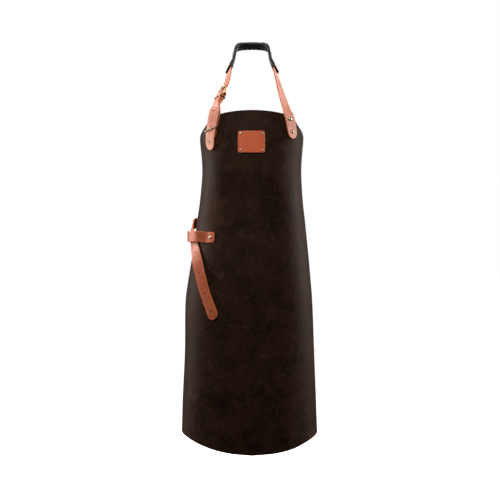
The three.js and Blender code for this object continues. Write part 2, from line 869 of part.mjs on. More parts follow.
// Tab that holds the waist strap against the left side.
const tabLift = layGap + tabThick / 2;
const tabRun = new Run([
  ...[0, -12, -24].map((step) => onTorso(tabFrontEnd + step, tabLevel, tabLift)),
  ...[
    [-0.96, -0.78, -0.65, -0.76],
    [-1.085, -0.5, -0.88, -0.47],
    [-1.11, -0.18, -1, -0.1],
    [-1.08, 0.14, -0.97, 0.22],
    [-1.02, 0.36, -0.9, 0.44],
  ].map(([x, y, nx, ny]) => ({
    point: new THREE.Vector3(x * tailSide, y * tailFront, tabLevel),
    out: new THREE.Vector3(nx, ny, 0),
  })),
  ...[24, 12, 0].map((step) => onTorso(tabRearEnd + step, tabLevel, tabLift)),
]);
const tabPlaces = [tabFrontEnd - tabRivetInset, tabRearEnd + tabRivetInset]
  .map((s) => onTorso(s, tabLevel));
piece(
  'waist_tab',
  without(
    band(tabRun, tabWidth, tabThick, { roundStart: 6, roundEnd: 6, step: 8 }),
    tabPlaces.map((place) => holeCutter(place, postHole)),
  ),
  'tail',
);
tabPlaces.forEach(({ point, out }, i) => {
  const cap = layGap + tabThick + seatGap;
  bodyHoles.push({ point, out });
  const seat = { point: point.clone().addScaledVector(out, cap), out };
  rivet(`tab_rivet_${i + 1}`, seat, cap + wall + backGap);
});

// The sheet itself, drilled for every rivet.
piece(
  'apron_body',
  without(bodyGeometry(), [
    ...bodyHoles.map((place) => holeCutter(place, postHole)),
    ...labelPlaces.map((place) => holeCutter(place, labelHole)),
  ]),
  'body',
);

export default apron;
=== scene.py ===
"""A dark brown leather work apron in its worn form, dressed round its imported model.

Named sizes are millimetres in the frame of the neck axis, as the part's source has them.
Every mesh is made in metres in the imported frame. The front faces -Y and +Z is up.
"""
import logging
import math
from collections.abc import Sequence
from dataclasses import dataclass, field
from enum import Enum

import bmesh
import bpy
import numpy as np
from mathutils import Matrix, Vector


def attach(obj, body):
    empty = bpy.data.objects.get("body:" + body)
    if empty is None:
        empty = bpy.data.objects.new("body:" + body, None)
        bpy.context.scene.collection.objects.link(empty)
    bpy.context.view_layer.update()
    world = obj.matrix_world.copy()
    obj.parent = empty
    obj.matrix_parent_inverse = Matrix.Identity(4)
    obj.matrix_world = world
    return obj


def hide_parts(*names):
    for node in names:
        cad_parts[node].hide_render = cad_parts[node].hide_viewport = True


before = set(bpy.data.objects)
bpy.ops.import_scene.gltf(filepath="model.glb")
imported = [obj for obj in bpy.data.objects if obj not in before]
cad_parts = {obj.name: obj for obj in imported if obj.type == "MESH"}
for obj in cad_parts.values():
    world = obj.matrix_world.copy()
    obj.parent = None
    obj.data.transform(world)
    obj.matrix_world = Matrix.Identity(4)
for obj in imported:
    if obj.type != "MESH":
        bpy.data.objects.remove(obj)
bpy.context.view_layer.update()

LOG = logging.getLogger("apron")
Array = np.ndarray
Colour = tuple[float, float, float, float]
MM = 0.001


class Slot(Enum):
    """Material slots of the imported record."""

    BODY = "body_leather"
    STRAP = "strap_leather"
    TAIL = "tail_leather"
    LABEL = "label_leather"
    PAD = "pad_leather"
    BRASS = "aged_brass"
    NICKEL = "nickel"


class Side(Enum):
    """Sides as seen from the front; left is towards -X."""

    LEFT = -1
    RIGHT = 1


def tint(red: float, green: float, blue: float) -> Colour:
    """Give a colour seen on a screen as linear light.

    Args:
        red: Red from 0 to 255.
        green: Green from 0 to 255.
        blue: Blue from 0 to 255.

    Returns:
        Red, green, blue and full opacity in linear light.
    """
    def linear(level: float) -> float:
        """Linear light of one channel."""
        share = level / 255
        return share / 12.92 if share <= 0.04045 else ((share + 0.055) / 1.055) ** 2.4

    return linear(red), linear(green), linear(blue), 1.0


# Curves and sections.


def smooth(low: float, high: float, value: Array | float) -> Array:
    """Ease from 0 at low to 1 at high.

    Args:
        low: Value that gives 0.
        high: Value that gives 1.
        value: Numbers to ease.

    Returns:
        The eased numbers.
    """
    t = np.clip((np.asarray(value, float) - low) / (high - low), 0, 1)
    return t * t * (3 - 2 * t)


def row_at(table: Sequence[Sequence[float]], key: Array) -> Array:
    """Read a table smoothly at values of its first column.

    Args:
        table: Rows of numbers, rising in the first column.
        key: Values to read at.

    Returns:
        One row for each value.
    """
    rows = np.array(table, float)
    keys = rows[:, 0]
    held = np.clip(np.asarray(key, float), keys[0], keys[-1])
    i = np.clip(np.searchsorted(keys, held, side="left") - 1, 0, len(keys) - 2)
    span = keys[i + 1] - keys[i]
    t = (held - keys[i]) / span

    def slope(k: Array) -> Array:
        """Slope of every column at table rows k."""
        a = np.maximum(k - 1, 0)
        b = np.minimum(k + 1, len(keys) - 1)
        return (rows[b] - rows[a]) / (keys[b] - keys[a])[:, None]

    rise = (t * t * (3 - 2 * t))[:, None]
    leaving = (t * (1 - t) ** 2 * span)[:, None] * slope(i)
    arriving = (t * t * (t - 1) * span)[:, None] * slope(i + 1)
    return rows[i] + rise * (rows[i + 1] - rows[i]) + leaving + arriving


def unit(vectors: Array) -> Array:
    """Scale rows of numbers to length one."""
    return vectors / np.linalg.norm(vectors, axis=-1, keepdims=True)


@dataclass(frozen=True)
class Place:
    """A point with its outward direction."""

    point: Array
    out: Array

    def raised(self, lift: float) -> "Place":
        """Give the place moved along its outward direction."""
        return Place(self.point + self.out * lift, self.out)


@dataclass(frozen=True)
class Frames:
    """Places along a run with their directions, one row each."""

    point: Array
    along: Array
    across: Array
    out: Array

    def place(self, lift: float = 0) -> Place:
        """Give the first row as a place, raised by a lift."""
        return Place(self.point[0], self.out[0]).raised(lift)


@dataclass(frozen=True)
class Torso:
    """Sections that the sheet is bent round, given from its top edge down.

    Columns of sections: drop as a share of height, left and right half widths as shares
    of half, front and back depths as shares of depth.
    """

    top: float = -189
    height: float = 867
    half: float = 180
    depth: float = 135
    squareness: float = 2.5
    steps: int = 240
    probe: float = 4
    sections: tuple = (
        (0.0, 0.778, 0.761, 0.79, 0.7),
        (0.076, 0.756, 0.742, 0.85, 0.68),
        (0.166, 0.722, 0.711, 0.87, 0.66),
        (0.256, 0.753, 0.73, 0.84, 0.66),
        (0.317, 0.794, 0.762, 0.84, 0.66),
        (0.407, 0.85, 0.806, 0.89, 0.68),
        (0.467, 0.9, 0.833, 0.926, 0.72),
        (0.557, 0.961, 0.867, 0.945, 0.8),
        (0.707, 0.972, 0.894, 0.96, 0.95),
        (0.857, 1.006, 0.922, 0.985, 1.1),
        (1.0, 1.028, 0.95, 1.0, 1.25),
    )

    def section(self, s: Array, z: Array) -> Array:
        """Find points of the sections at arc lengths from the middle.

        Args:
            s: Arc lengths, negative to the left.
            z: Heights.

        Returns:
            One point a row.
        """
        s, z = np.broadcast_arrays(np.atleast_1d(np.asarray(s, float)), np.asarray(z, float))
        rows = row_at(self.sections, (self.top - z) / self.height)
        half = np.where(s < 0, rows[:, 1], rows[:, 2]) * self.half
        angle = np.linspace(0, math.pi, self.steps + 1)
        power = 2 / self.squareness
        cosine = np.cos(angle)
        depth = np.where(angle < math.pi / 2, rows[:, 3:4], rows[:, 4:5]) * self.depth
        x = half[:, None] * np.abs(np.sin(angle)) ** power
        y = -np.sign(cosine) * np.abs(cosine) ** power * depth
        stretch = np.hypot(np.diff(x), np.diff(y))
        run = np.hstack([np.zeros((len(s), 1)), np.cumsum(stretch, axis=1)])
        want = np.abs(s)
        k = np.clip((run < want[:, None]).sum(axis=1) - 1, 0, self.steps - 1)
        each = np.arange(len(s))
        t = np.clip((want - run[each, k]) / stretch[each, k], 0, 1)
        px = x[each, k] + (x[each, k + 1] - x[each, k]) * t
        py = y[each, k] + (y[each, k + 1] - y[each, k]) * t
        return np.stack([np.where(s < 0, -px, px), py, z], axis=1)

    def outward(self, s: Array, z: Array) -> Array:
        """Find the outward directions at arc lengths and heights."""
        across = self.section(s + self.probe, z) - self.section(s - self.probe, z)
        upward = self.section(s, z + self.probe) - self.section(s, z - self.probe)
        return unit(np.cross(across, upward))

    def on(self, s: float, z: float, lift: float = 0) -> Place:
        """Find a place on the outer face of the sheet.

        Args:
            s: Arc length from the middle.
            z: Height.
            lift: Distance above the face.

        Returns:
            The place.
        """
        at, height = np.array([float(s)]), np.array([float(z)])
        return Place(self.section(at, height)[0], self.outward(at, height)[0]).raised(lift)


class Spline:
    """A smooth curve through points, eased by the distances between them."""

    near = 1e-4

    def __init__(self, points: Sequence[Array]) -> None:
        """Keep the points with one more past each end."""
        p = np.array(points, float)
        self.points = np.vstack([2 * p[0] - p[1], p, 2 * p[-1] - p[-2]])
        self.spans = len(p) - 1

    def at(self, t: Array) -> Array:
        """Find points of the curve.

        Args:
            t: Shares of the row count, 0 at the first point and 1 at the last.

        Returns:
            One point a row.
        """
        place = np.clip(np.atleast_1d(np.asarray(t, float)), 0, 1) * self.spans
        i = np.minimum(place.astype(int), self.spans - 1)
        w = (place - i)[:, None]
        a, b, c, d = (self.points[i + k] for k in range(4))
        gaps = [np.linalg.norm(q - p, axis=1, keepdims=True) ** 0.5
                for p, q in ((a, b), (b, c), (c, d))]
        middle = np.where(gaps[1] < self.near, 1.0, gaps[1])
        before = np.where(gaps[0] < self.near, middle, gaps[0])
        after = np.where(gaps[2] < self.near, middle, gaps[2])
        start = ((b - a) / before - (c - a) / (before + middle) + (c - b) / middle) * middle
        end = ((c - b) / middle - (d - b) / (middle + after) + (d - c) / after) * middle
        square = -3 * b + 3 * c - 2 * start - end
        cube = 2 * b - 2 * c + start + end
        return b + w * (start + w * (square + w * cube))


class Run:
    """The centre line of a band: places joined by a curve, each with an outward direction."""

    divisions = 600
    step = 1e-4
    halvings = 30

    def __init__(self, rows: Sequence[Place]) -> None:
        """Measure the curve through the rows."""
        self.path = Spline([row.point for row in rows])
        self.faces = Spline([row.out for row in rows])
        self.shares = np.linspace(0, 1, self.divisions + 1)
        chords = np.linalg.norm(np.diff(self.path.at(self.shares), axis=0), axis=1)
        self.reach = np.concatenate([[0], np.cumsum(chords)])
        self.length = float(self.reach[-1])

    def at(self, distance: Array | float) -> Frames:
        """Find the frames at distances from the start."""
        t = np.interp(np.atleast_1d(distance), self.reach, self.shares)
        forward = self.path.at(np.minimum(t + self.step, 1))
        along = unit(forward - self.path.at(np.maximum(t - self.step, 0)))
        across = unit(np.cross(self.faces.at(t), along))
        return Frames(self.path.at(t), along, across, unit(np.cross(along, across)))

    def at_height(self, z: float, share: float = 0.5) -> Frames:
        """Find the frame where the run crosses a height on its way down.

        Args:
            z: The height.
            share: Share of the length to start looking from.

        Returns:
            A single frame.
        """
        low, high = self.length * share, self.length
        for _ in range(self.halvings):
            middle = (low + high) / 2
            if self.at(middle).point[0, 2] > z:
                low = middle
            else:
                high = middle
        return self.at(low)

    def of_row(self, index: int) -> float:
        """Find the distance of a row of the run."""
        return float(np.interp(index / self.path.spans, self.shares, self.reach))


@dataclass(frozen=True)
class Hinge:
    """Frame of a buckle's hinge bar: along the buckle strap, across it and outward."""

    point: Array
    along: Array
    across: Array
    out: Array

    @classmethod
    def at(cls, point: Array, along: Array, out: Array) -> "Hinge":
        """Square up the directions at a point."""
        down = unit(np.asarray(along, float))
        across = unit(np.cross(np.asarray(out, float), down))
        return cls(np.asarray(point, float), down, across, unit(np.cross(down, across)))

    def place(self, t: float, n: float) -> Place:
        """Find the place t along the strap and n outward."""
        return Place(self.point + self.along * t + self.out * n, self.out)


# Meshes.


@dataclass
class Bench:
    """Turns rows of points into pieces of the scene that stand for the model's nodes."""

    shift: Array = field(default_factory=lambda: np.zeros(3))

    def metres(self, points: Array) -> Array:
        """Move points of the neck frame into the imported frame, in metres."""
        return (np.asarray(points, float) + self.shift) * MM

    def woven(self, points: Array, rim: Array | float = 0, tube: bool = True,
              ring: bool = False) -> bmesh.types.BMesh:
        """Bend a grid into a skin over rows of points.

        Args:
            points: Rows by places by three coordinates, in the neck frame.
            rim: How far each point belongs to a cut edge, 0 to 1.
            tube: Whether each row closes on itself.
            ring: Whether the last row meets the first.

        Returns:
            A mesh in metres, with its faces outward where it is closed.
        """
        spots = self.metres(points)
        edge = np.broadcast_to(np.asarray(rim, float), spots.shape[:2])
        if tube:
            spots = np.concatenate([spots, spots[:, :1]], axis=1)
            edge = np.concatenate([edge, edge[:, :1]], axis=1)
        if ring:
            spots = np.concatenate([spots, spots[:1]], axis=0)
            edge = np.concatenate([edge, edge[:1]], axis=0)
        high, wide = spots.shape[:2]
        mesh = bmesh.new()
        layer = mesh.verts.layers.float.new("rim")
        bmesh.ops.create_grid(mesh, x_segments=wide - 1, y_segments=high - 1, size=0.5)
        for vert in mesh.verts:
            j = round((vert.co.x + 0.5) * (wide - 1))
            i = round((vert.co.y + 0.5) * (high - 1))
            vert.co = spots[i, j]
            vert[layer] = edge[i, j]
        mesh.normal_update()
        if tube:
            bmesh.ops.remove_doubles(mesh, verts=mesh.verts, dist=1e-7)
            mouths = [e for e in mesh.edges if e.is_boundary]
            if mouths:
                bmesh.ops.holes_fill(mesh, edges=mouths, sides=0)
            bmesh.ops.recalc_face_normals(mesh, faces=mesh.faces)
        return mesh

    def object(self, name: str, mesh: bmesh.types.BMesh) -> bpy.types.Object:
        """Put a mesh into the scene as a smooth object.

        Args:
            name: The piece's name.
            mesh: The mesh, which is used up.

        Returns:
            The new object.
        """
        data = bpy.data.meshes.new(name)
        mesh.to_mesh(data)
        mesh.free()
        data.shade_smooth()
        piece = bpy.data.objects.new(name, data)
        bpy.context.scene.collection.objects.link(piece)
        return piece

    def settled(self, piece: bpy.types.Object, crease: float = 40) -> None:
        """Turn a piece's modifiers into its mesh and keep its sharp edges sharp.

        Args:
            piece: The piece.
            crease: Angle in degrees above which an edge stays sharp.
        """
        graph = bpy.context.evaluated_depsgraph_get()
        made = bpy.data.meshes.new_from_object(
            piece.evaluated_get(graph), preserve_all_data_layers=True, depsgraph=graph)
        old = piece.data
        piece.modifiers.clear()
        piece.data = made
        bpy.data.meshes.remove(old)
        made.name = piece.name
        made.shade_smooth()
        made.set_sharp_from_angle(angle=math.radians(crease))

    def cut(self, piece: bpy.types.Object, cutter: bmesh.types.BMesh) -> None:
        """Take a cutter's space out of a piece.

        Args:
            piece: The piece.
            cutter: Closed shapes in metres, which are used up.
        """
        tool = self.object("cutter", cutter)
        taking = piece.modifiers.new("holes", "BOOLEAN")
        taking.operation = "DIFFERENCE"
        taking.solver = "EXACT"
        taking.object = tool
        self.settled(piece)
        bpy.data.objects.remove(tool)

    def pegs(self, places: Sequence[Place], radius: float) -> bmesh.types.BMesh:
        """Make round cutters through places, along their outward directions.

        Args:
            places: Middles of the holes.
            radius: Radius of the holes.

        Returns:
            All the cutters in one mesh.
        """
        mesh = bmesh.new()
        reach = 24 * MM
        for place in places:
            bmesh.ops.create_cone(
                mesh, cap_ends=True, segments=20, radius1=radius * MM, radius2=radius * MM,
                depth=reach, matrix=self.stand(place))
        return mesh

    def stand(self, place: Place) -> Matrix:
        """Give the matrix that stands +Z of a shape on a place."""
        turn = Vector((0, 0, 1)).rotation_difference(Vector(place.out)).to_matrix().to_4x4()
        return Matrix.Translation(Vector(self.metres(place.point))) @ turn

    def finished(self, piece: bpy.types.Object, finish: "Finish", *nodes: str) -> bpy.types.Object:
        """Dress a piece, hang it under the root and hide the nodes of the model that it stands for.

        Args:
            piece: The piece.
            finish: Its finish.
            nodes: Nodes of the model that it stands for.

        Returns:
            The piece.
        """
        piece.data.materials.clear()
        piece.data.materials.append(finish.material())
        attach(piece, "root")
        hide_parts(*nodes)
        LOG.info("%s: %d faces", piece.name, len(piece.data.polygons))
        return piece


@dataclass
class Band:
    """A flat band of thick leather with burnished edges.

    A crease is a line pressed in beside each long edge, and a dent is the hollow that a
    rivet presses round its cap.
    """

    name: str
    run: Run
    width: float
    thick: float
    round_start: float = 0
    round_end: float = 0
    step: float = 2.2
    pitch: float = 2.4
    crease: float = 0.22
    inset: float = 2.6
    tip: float = 0.4
    roll: float = 0.9
    dents: Sequence[Place] = ()
    dent_depth: float = 0.4
    dent_ring: float = 5.2
    dent_soft: float = 1.6

    def stations(self) -> Array:
        """Choose distances along the run, closer together at the ends."""
        count = math.ceil(self.run.length / self.step)
        places = list(np.linspace(0, self.run.length, count + 1))
        lip = [self.roll * share for share in (0.12, 0.35, 0.7, 1)]
        for size, at_end in ((self.round_start, False), (self.round_end, True)):
            near = lip + [size * share for share in (0.08, 0.16, 0.28, 0.42, 0.6, 0.8, 1) if size]
            places += [self.run.length - d for d in near] if at_end else near
        return np.unique(np.round(places, 3))

    def halves(self, distance: Array) -> Array:
        """Find the half widths at distances, rounded off at the ends."""
        size = max(self.round_start, self.round_end, self.tip)
        whole = np.full_like(distance, size)
        from_start = distance if self.round_start else whole
        from_end = self.run.length - distance if self.round_end else whole
        gap = np.clip(np.minimum(from_start, from_end), 0, size)
        inset = size - np.sqrt(np.maximum(0, size ** 2 - (size - gap) ** 2))
        return np.maximum(self.width / 2 - inset, self.tip)

    def section(self) -> tuple[Array, Array, Array]:
        """Lay out the top half of the cross-section from one edge to the other.

        Returns:
            Places across as shares of the half width, rises as shares of half the
            thickness, and how far each point belongs to the cut edge.
        """
        half = self.width / 2
        groove = 0.7
        inset = [0.0, 0.12, 0.4, 0.9, self.inset - groove, self.inset, self.inset + groove]
        rise = [0.0, 0.55, 0.86, 1.0, 1.0, 1.0 - 2 * self.crease / self.thick, 1.0]
        rim = [1.0, 1.0, 0.9, 0.25, 0.0, 0.0, 0.0]
        flat = half - inset[-1]
        count = max(2, round(2 * flat / self.pitch))
        inner = np.linspace(-flat, flat, count + 1)[1:-1] / half
        left = [(d - half) / half for d in inset]
        across = np.array([*left, *inner, *[-w for w in reversed(left)]])
        rises = np.array([*rise, *[1.0] * len(inner), *reversed(rise)])
        rims = np.array([*rim, *[0.0] * len(inner), *reversed(rim)])
        return across, rises, rims

    def mesh(self, bench: Bench) -> bmesh.types.BMesh:
        """Loft the band along its run."""
        distance = self.stations()
        frames = self.run.at(distance)
        across, rise, rim = self.section()
        w = np.concatenate([across, across[-2:0:-1]])
        n = np.concatenate([rise, -rise[-2:0:-1]])
        edge = np.concatenate([rim, rim[-2:0:-1]])
        to_end = np.minimum(distance, self.run.length - distance)
        lip = 1 - np.clip(to_end / self.roll, 0, 1)
        thin = np.sqrt(np.clip(1 - lip ** 2, 0.16, 1))
        lift = n[None, :] * thin[:, None] * self.thick / 2
        points = (frames.point[:, None]
                  + frames.across[:, None] * (w[None, :] * self.halves(distance)[:, None])[..., None]
                  + frames.out[:, None] * lift[..., None])
        for dent in self.dents:
            away = np.linalg.norm(points - dent.point, axis=2)
            press = self.dent_depth * np.exp(-((away - self.dent_ring) / self.dent_soft) ** 2)
            press = np.where(n[None, :] > 0, press, 0)
            points = points - frames.out[:, None] * press[..., None]
        edges = np.maximum(edge[None, :], smooth(self.roll, 0, to_end)[:, None])
        return bench.woven(points, edges)

    def build(self, bench: Bench, holes: Sequence[Place] = (), radius: float = 2.1) -> bpy.types.Object:
        """Put the band into the scene, with its punched holes.

        Args:
            bench: The bench.
            holes: Middles of the holes.
            radius: Radius of the holes.

        Returns:
            The band.
        """
        piece = bench.object(self.name, self.mesh(bench))
        if holes:
            bench.cut(piece, bench.pegs(holes, radius))
        return piece


@dataclass
class Wire:
    """A round bar bent along a flat line of points."""

    points: Array
    normal: Array
    radius: float
    closed: bool = True
    sides: int = 16

    @classmethod
    def loop(cls, centre: Array, across: Array, up: Array, half: float, rise: float,
             corner: float, radius: float) -> "Wire":
        """Bend a closed bar round a rectangle with round corners.

        Args:
            centre: Middle of the rectangle.
            across: Direction of its width.
            up: Direction of its height.
            half: Half its width.
            rise: Half its height.
            corner: Radius of its corners.
            radius: Radius of the bar.

        Returns:
            The bar.
        """
        points = []
        per_corner = 8
        for quarter, (sx, sy) in enumerate(((1, 1), (-1, 1), (-1, -1), (1, -1))):
            for k in range(per_corner + 1):
                angle = math.pi / 2 * (quarter + k / per_corner)
                points.append(centre
                              + across * (sx * (half - corner) + corner * math.cos(angle))
                              + up * (sy * (rise - corner) + corner * math.sin(angle)))
        return cls(np.array(points), unit(np.cross(across, up)), radius)

    def mesh(self, bench: Bench) -> bmesh.types.BMesh:
        """Loft the bar along its points, with rounded ends where it is open."""
        p = self.points
        if self.closed:
            along = unit(np.roll(p, -1, axis=0) - np.roll(p, 1, axis=0))
        else:
            along = unit(np.vstack([p[1:], p[-1:]]) - np.vstack([p[:1], p[:-1]]))
        radius = np.full(len(p), self.radius)
        if not self.closed:
            reach = np.array([[0.97], [0.8], [0.45]]) * self.radius
            share = np.array([0.25, 0.6, 0.9]) * self.radius
            p = np.vstack([p[:1] - along[:1] * reach, p, p[-1:] + along[-1:] * reach[::-1]])
            along = np.vstack([along[:1]] * 3 + [along] + [along[-1:]] * 3)
            radius = np.concatenate([share, radius, share[::-1]])
        side = unit(np.cross(along, self.normal))
        up = np.cross(side, along)
        angle = 2 * math.pi * np.arange(self.sides) / self.sides
        ring = (np.cos(angle)[None, :, None] * side[:, None]
                + np.sin(angle)[None, :, None] * up[:, None])
        return bench.woven(p[:, None] + ring * radius[:, None, None], ring=self.closed)


@dataclass
class Rivet:
    """A rivet with a domed cap, a post and a flat back cap, turned from one profile.

    The profile's columns are the radius as a share of the cap and the rise as a share
    of the dome.
    """

    name: str
    seat: Place
    grip: float
    cap: float = 5
    post: float = 2
    dome: float = 2
    sides: int = 40
    crown: tuple = ((0, 1), (0.2, 0.985), (0.42, 0.9), (0.62, 0.74), (0.79, 0.5), (0.9, 0.24),
                    (0.965, 0.02), (0.985, -0.08), (0.96, -0.2))
    heel: float = 0.9

    def build(self, bench: Bench) -> bpy.types.Object:
        """Spin the profile round the rivet's axis."""
        rise = self.dome * self.cap / 5
        profile = [(self.cap * r, rise * h) for r, h in self.crown]
        back = self.cap * 0.8
        profile += [(self.post, profile[-1][1]), (self.post, -self.grip),
                    (back, -self.grip), (back, -self.grip - self.heel * 0.7),
                    (back * 0.85, -self.grip - self.heel), (0, -self.grip - self.heel)]
        mesh = bmesh.new()
        verts = [mesh.verts.new((r * MM, 0, h * MM)) for r, h in profile]
        edges = [mesh.edges.new(pair) for pair in zip(verts, verts[1:])]
        bmesh.ops.spin(mesh, geom=[*verts, *edges], axis=(0, 0, 1), cent=(0, 0, 0),
                       angle=2 * math.pi, steps=self.sides, use_merge=True)
        bmesh.ops.remove_doubles(mesh, verts=mesh.verts, dist=1e-7)
        bmesh.ops.transform(mesh, matrix=bench.stand(self.seat), verts=mesh.verts)
        bmesh.ops.recalc_face_normals(mesh, faces=mesh.faces)
        piece = bench.object(self.name, mesh)
        bench.settled(piece)
        return piece


# Finishes.


class Value:
    """A shader socket that takes part in expressions."""

    def __init__(self, graph: "Graph", socket: bpy.types.NodeSocket) -> None:
        """Wrap an output socket."""
        self.graph = graph
        self.socket = socket

    def _math(self, operation: str, first: "Value | float", second: "Value | float") -> "Value":
        """Join two values by a Math node."""
        return self.graph.node("ShaderNodeMath", {"operation": operation}, {0: first, 1: second})

    def __add__(self, other: "Value | float") -> "Value":
        """Add."""
        return self._math("ADD", self, other)

    def __radd__(self, other: float) -> "Value":
        """Add to a number."""
        return self._math("ADD", other, self)

    def __sub__(self, other: "Value | float") -> "Value":
        """Subtract."""
        return self._math("SUBTRACT", self, other)

    def __rsub__(self, other: float) -> "Value":
        """Subtract from a number."""
        return self._math("SUBTRACT", other, self)

    def __mul__(self, other: "Value | float") -> "Value":
        """Multiply."""
        return self._math("MULTIPLY", self, other)

    def __rmul__(self, other: float) -> "Value":
        """Multiply a number."""
        return self._math("MULTIPLY", other, self)

    def __truediv__(self, other: "Value | float") -> "Value":
        """Divide."""
        return self._math("DIVIDE", self, other)

    def __rtruediv__(self, other: float) -> "Value":
        """Divide a number."""
        return self._math("DIVIDE", other, self)

    def __pow__(self, other: "Value | float") -> "Value":
        """Raise to a power."""
        return self._math("POWER", self, other)

    def most(self, other: "Value | float") -> "Value":
        """Give the larger of two values."""
        return self._math("MAXIMUM", self, other)

    def eased(self, low: float, high: float) -> "Value":
        """Ease from 0 at low to 1 at high."""
        return self.graph.node(
            "ShaderNodeMapRange", {"interpolation_type": "SMOOTHSTEP"},
            {"Value": self, "From Min": low, "From Max": high})


class Graph:
    """The node tree of one material."""

    mix_inputs = {"factor": 0, "a": 6, "b": 7}
    mix_result = 2

    def __init__(self, name: str) -> None:
        """Start a material with an empty surface."""
        self.made = bpy.data.materials.new(name)
        self.made.use_nodes = True
        self.tree = self.made.node_tree
        self.tree.nodes.clear()
        self.coordinates = self.node("ShaderNodeTexCoord", {}, {}, "Object")

    def node(self, kind: str, settings: dict, inputs: dict, output: str | int = 0) -> Value:
        """Add a node.

        Args:
            kind: The node's type.
            settings: Its properties.
            inputs: Values or links by socket name or number.
            output: Name or number of the output to use.

        Returns:
            The chosen output.
        """
        made = self.tree.nodes.new(kind)
        for key, setting in settings.items():
            setattr(made, key, setting)
        for key, given in inputs.items():
            if isinstance(given, Value):
                self.tree.links.new(given.socket, made.inputs[key])
            else:
                made.inputs[key].default_value = given
        return Value(self, made.outputs[output])

    def mixed(self, factor: Value | float, a: Value | Colour, b: Value | Colour,
              blend: str = "MIX") -> Value:
        """Mix two colours.

        Args:
            factor: Share of the second.
            a: First colour.
            b: Second colour.
            blend: How the second lies on the first.

        Returns:
            The mixed colour.
        """
        given = {"factor": factor, "a": a, "b": b}
        return self.node(
            "ShaderNodeMix", {"data_type": "RGBA", "blend_type": blend},
            {self.mix_inputs[key]: one for key, one in given.items()}, self.mix_result)

    def stretched(self, scale: tuple[float, float, float],
                  turn: tuple[float, float, float] = (0, 0, 0)) -> Value:
        """Give the object coordinates stretched and turned."""
        return self.node("ShaderNodeMapping", {},
                         {"Vector": self.coordinates, "Scale": scale, "Rotation": turn})

    def noise(self, scale: float, detail: float = 3, rough: float = 0.55, warp: float = 0,
              vector: Value | None = None) -> Value:
        """Add cloudy noise of a size per metre."""
        return self.node(
            "ShaderNodeTexNoise", {},
            {"Vector": vector or self.coordinates, "Scale": scale, "Detail": detail,
             "Roughness": rough, "Distortion": warp})

    def cells(self, scale: float, feature: str = "SMOOTH_F1", vector: Value | None = None) -> Value:
        """Add the distances of a cell pattern of a size per metre."""
        return self.node("ShaderNodeTexVoronoi", {"feature": feature},
                         {"Vector": vector or self.coordinates, "Scale": scale}, "Distance")

    def attribute(self, name: str) -> Value:
        """Read a number that the mesh carries."""
        return self.node("ShaderNodeAttribute", {"attribute_name": name}, {}, "Fac")

    def bump(self, height: Value, strength: float, distance: float) -> Value:
        """Turn a height into a normal."""
        return self.node("ShaderNodeBump", {},
                         {"Height": height, "Strength": strength, "Distance": distance}, "Normal")

    def surface(self, inputs: dict) -> bpy.types.Material:
        """Close the material with one surface shader.

        Args:
            inputs: Values or links by socket name.

        Returns:
            The material.
        """
        shader = self.node("ShaderNodeBsdfPrincipled", {}, inputs, "BSDF")
        out = self.tree.nodes.new("ShaderNodeOutputMaterial")
        self.tree.links.new(shader.socket, out.inputs["Surface"])
        return self.made


@dataclass(frozen=True)
class Leather:
    """A leather finish: colours in linear light, pattern sizes per metre."""

    slot: Slot
    face: Colour
    deep: Colour
    worn: Colour
    rim: Colour
    patch: float = 14
    grain: float = 900
    relief: float = 0.00022
    strength: float = 0.5
    rough: float = 0.55
    rough_spread: float = 0.16
    wear: float = 0.5
    scuff: float = 0.25
    sheen: float = 0.0
    specular: float = 0.4

    def material(self) -> bpy.types.Material:
        """Build the finish once and give it again after that."""
        name = f"{self.slot.value}_dressed"
        if name in bpy.data.materials:
            return bpy.data.materials[name]
        g = Graph(name)
        cloud = g.noise(self.patch, 5, 0.6, 0.6)
        speck = g.noise(self.patch * 12, 4, 0.65)
        pores = g.cells(self.grain)
        fibre = g.noise(self.grain * 0.6, 3, 0.6)
        rim = g.attribute("rim")
        tone = (cloud * 0.5 + speck * 0.5).eased(0.37, 0.63)
        colour = g.mixed(tone, self.deep, self.face)
        rub = g.noise(self.patch * 2.3, 6, 0.7, 1.2).eased(0.52, 0.74) * self.wear
        colour = g.mixed(rub, colour, self.worn)
        lines = 1 - g.cells(
            self.patch * 1.4, "DISTANCE_TO_EDGE",
            g.stretched((1.0, 1.0, 0.35), (0.3, 0.5, 0.2))).eased(0.002, 0.012)
        mask = g.noise(self.patch * 0.9, 2).eased(0.55, 0.65)
        scratch = lines * mask * self.scuff
        colour = g.mixed(scratch, colour, self.worn)
        colour = g.mixed((1 - pores).eased(0.55, 1.0) * 0.3, colour, self.deep)
        colour = g.mixed(rim, colour, self.rim)
        rough = self.rough + (tone - 0.5) * self.rough_spread + rub * 0.08 - rim * 0.06
        height = pores * 0.6 + fibre * 0.5 + speck * 0.5 - scratch * 0.6
        return g.surface({
            "Base Color": colour, "Roughness": rough,
            "Normal": g.bump(height, self.strength, self.relief),
            "Specular IOR Level": self.specular, "Sheen Weight": self.sheen,
            "Sheen Roughness": 0.45})


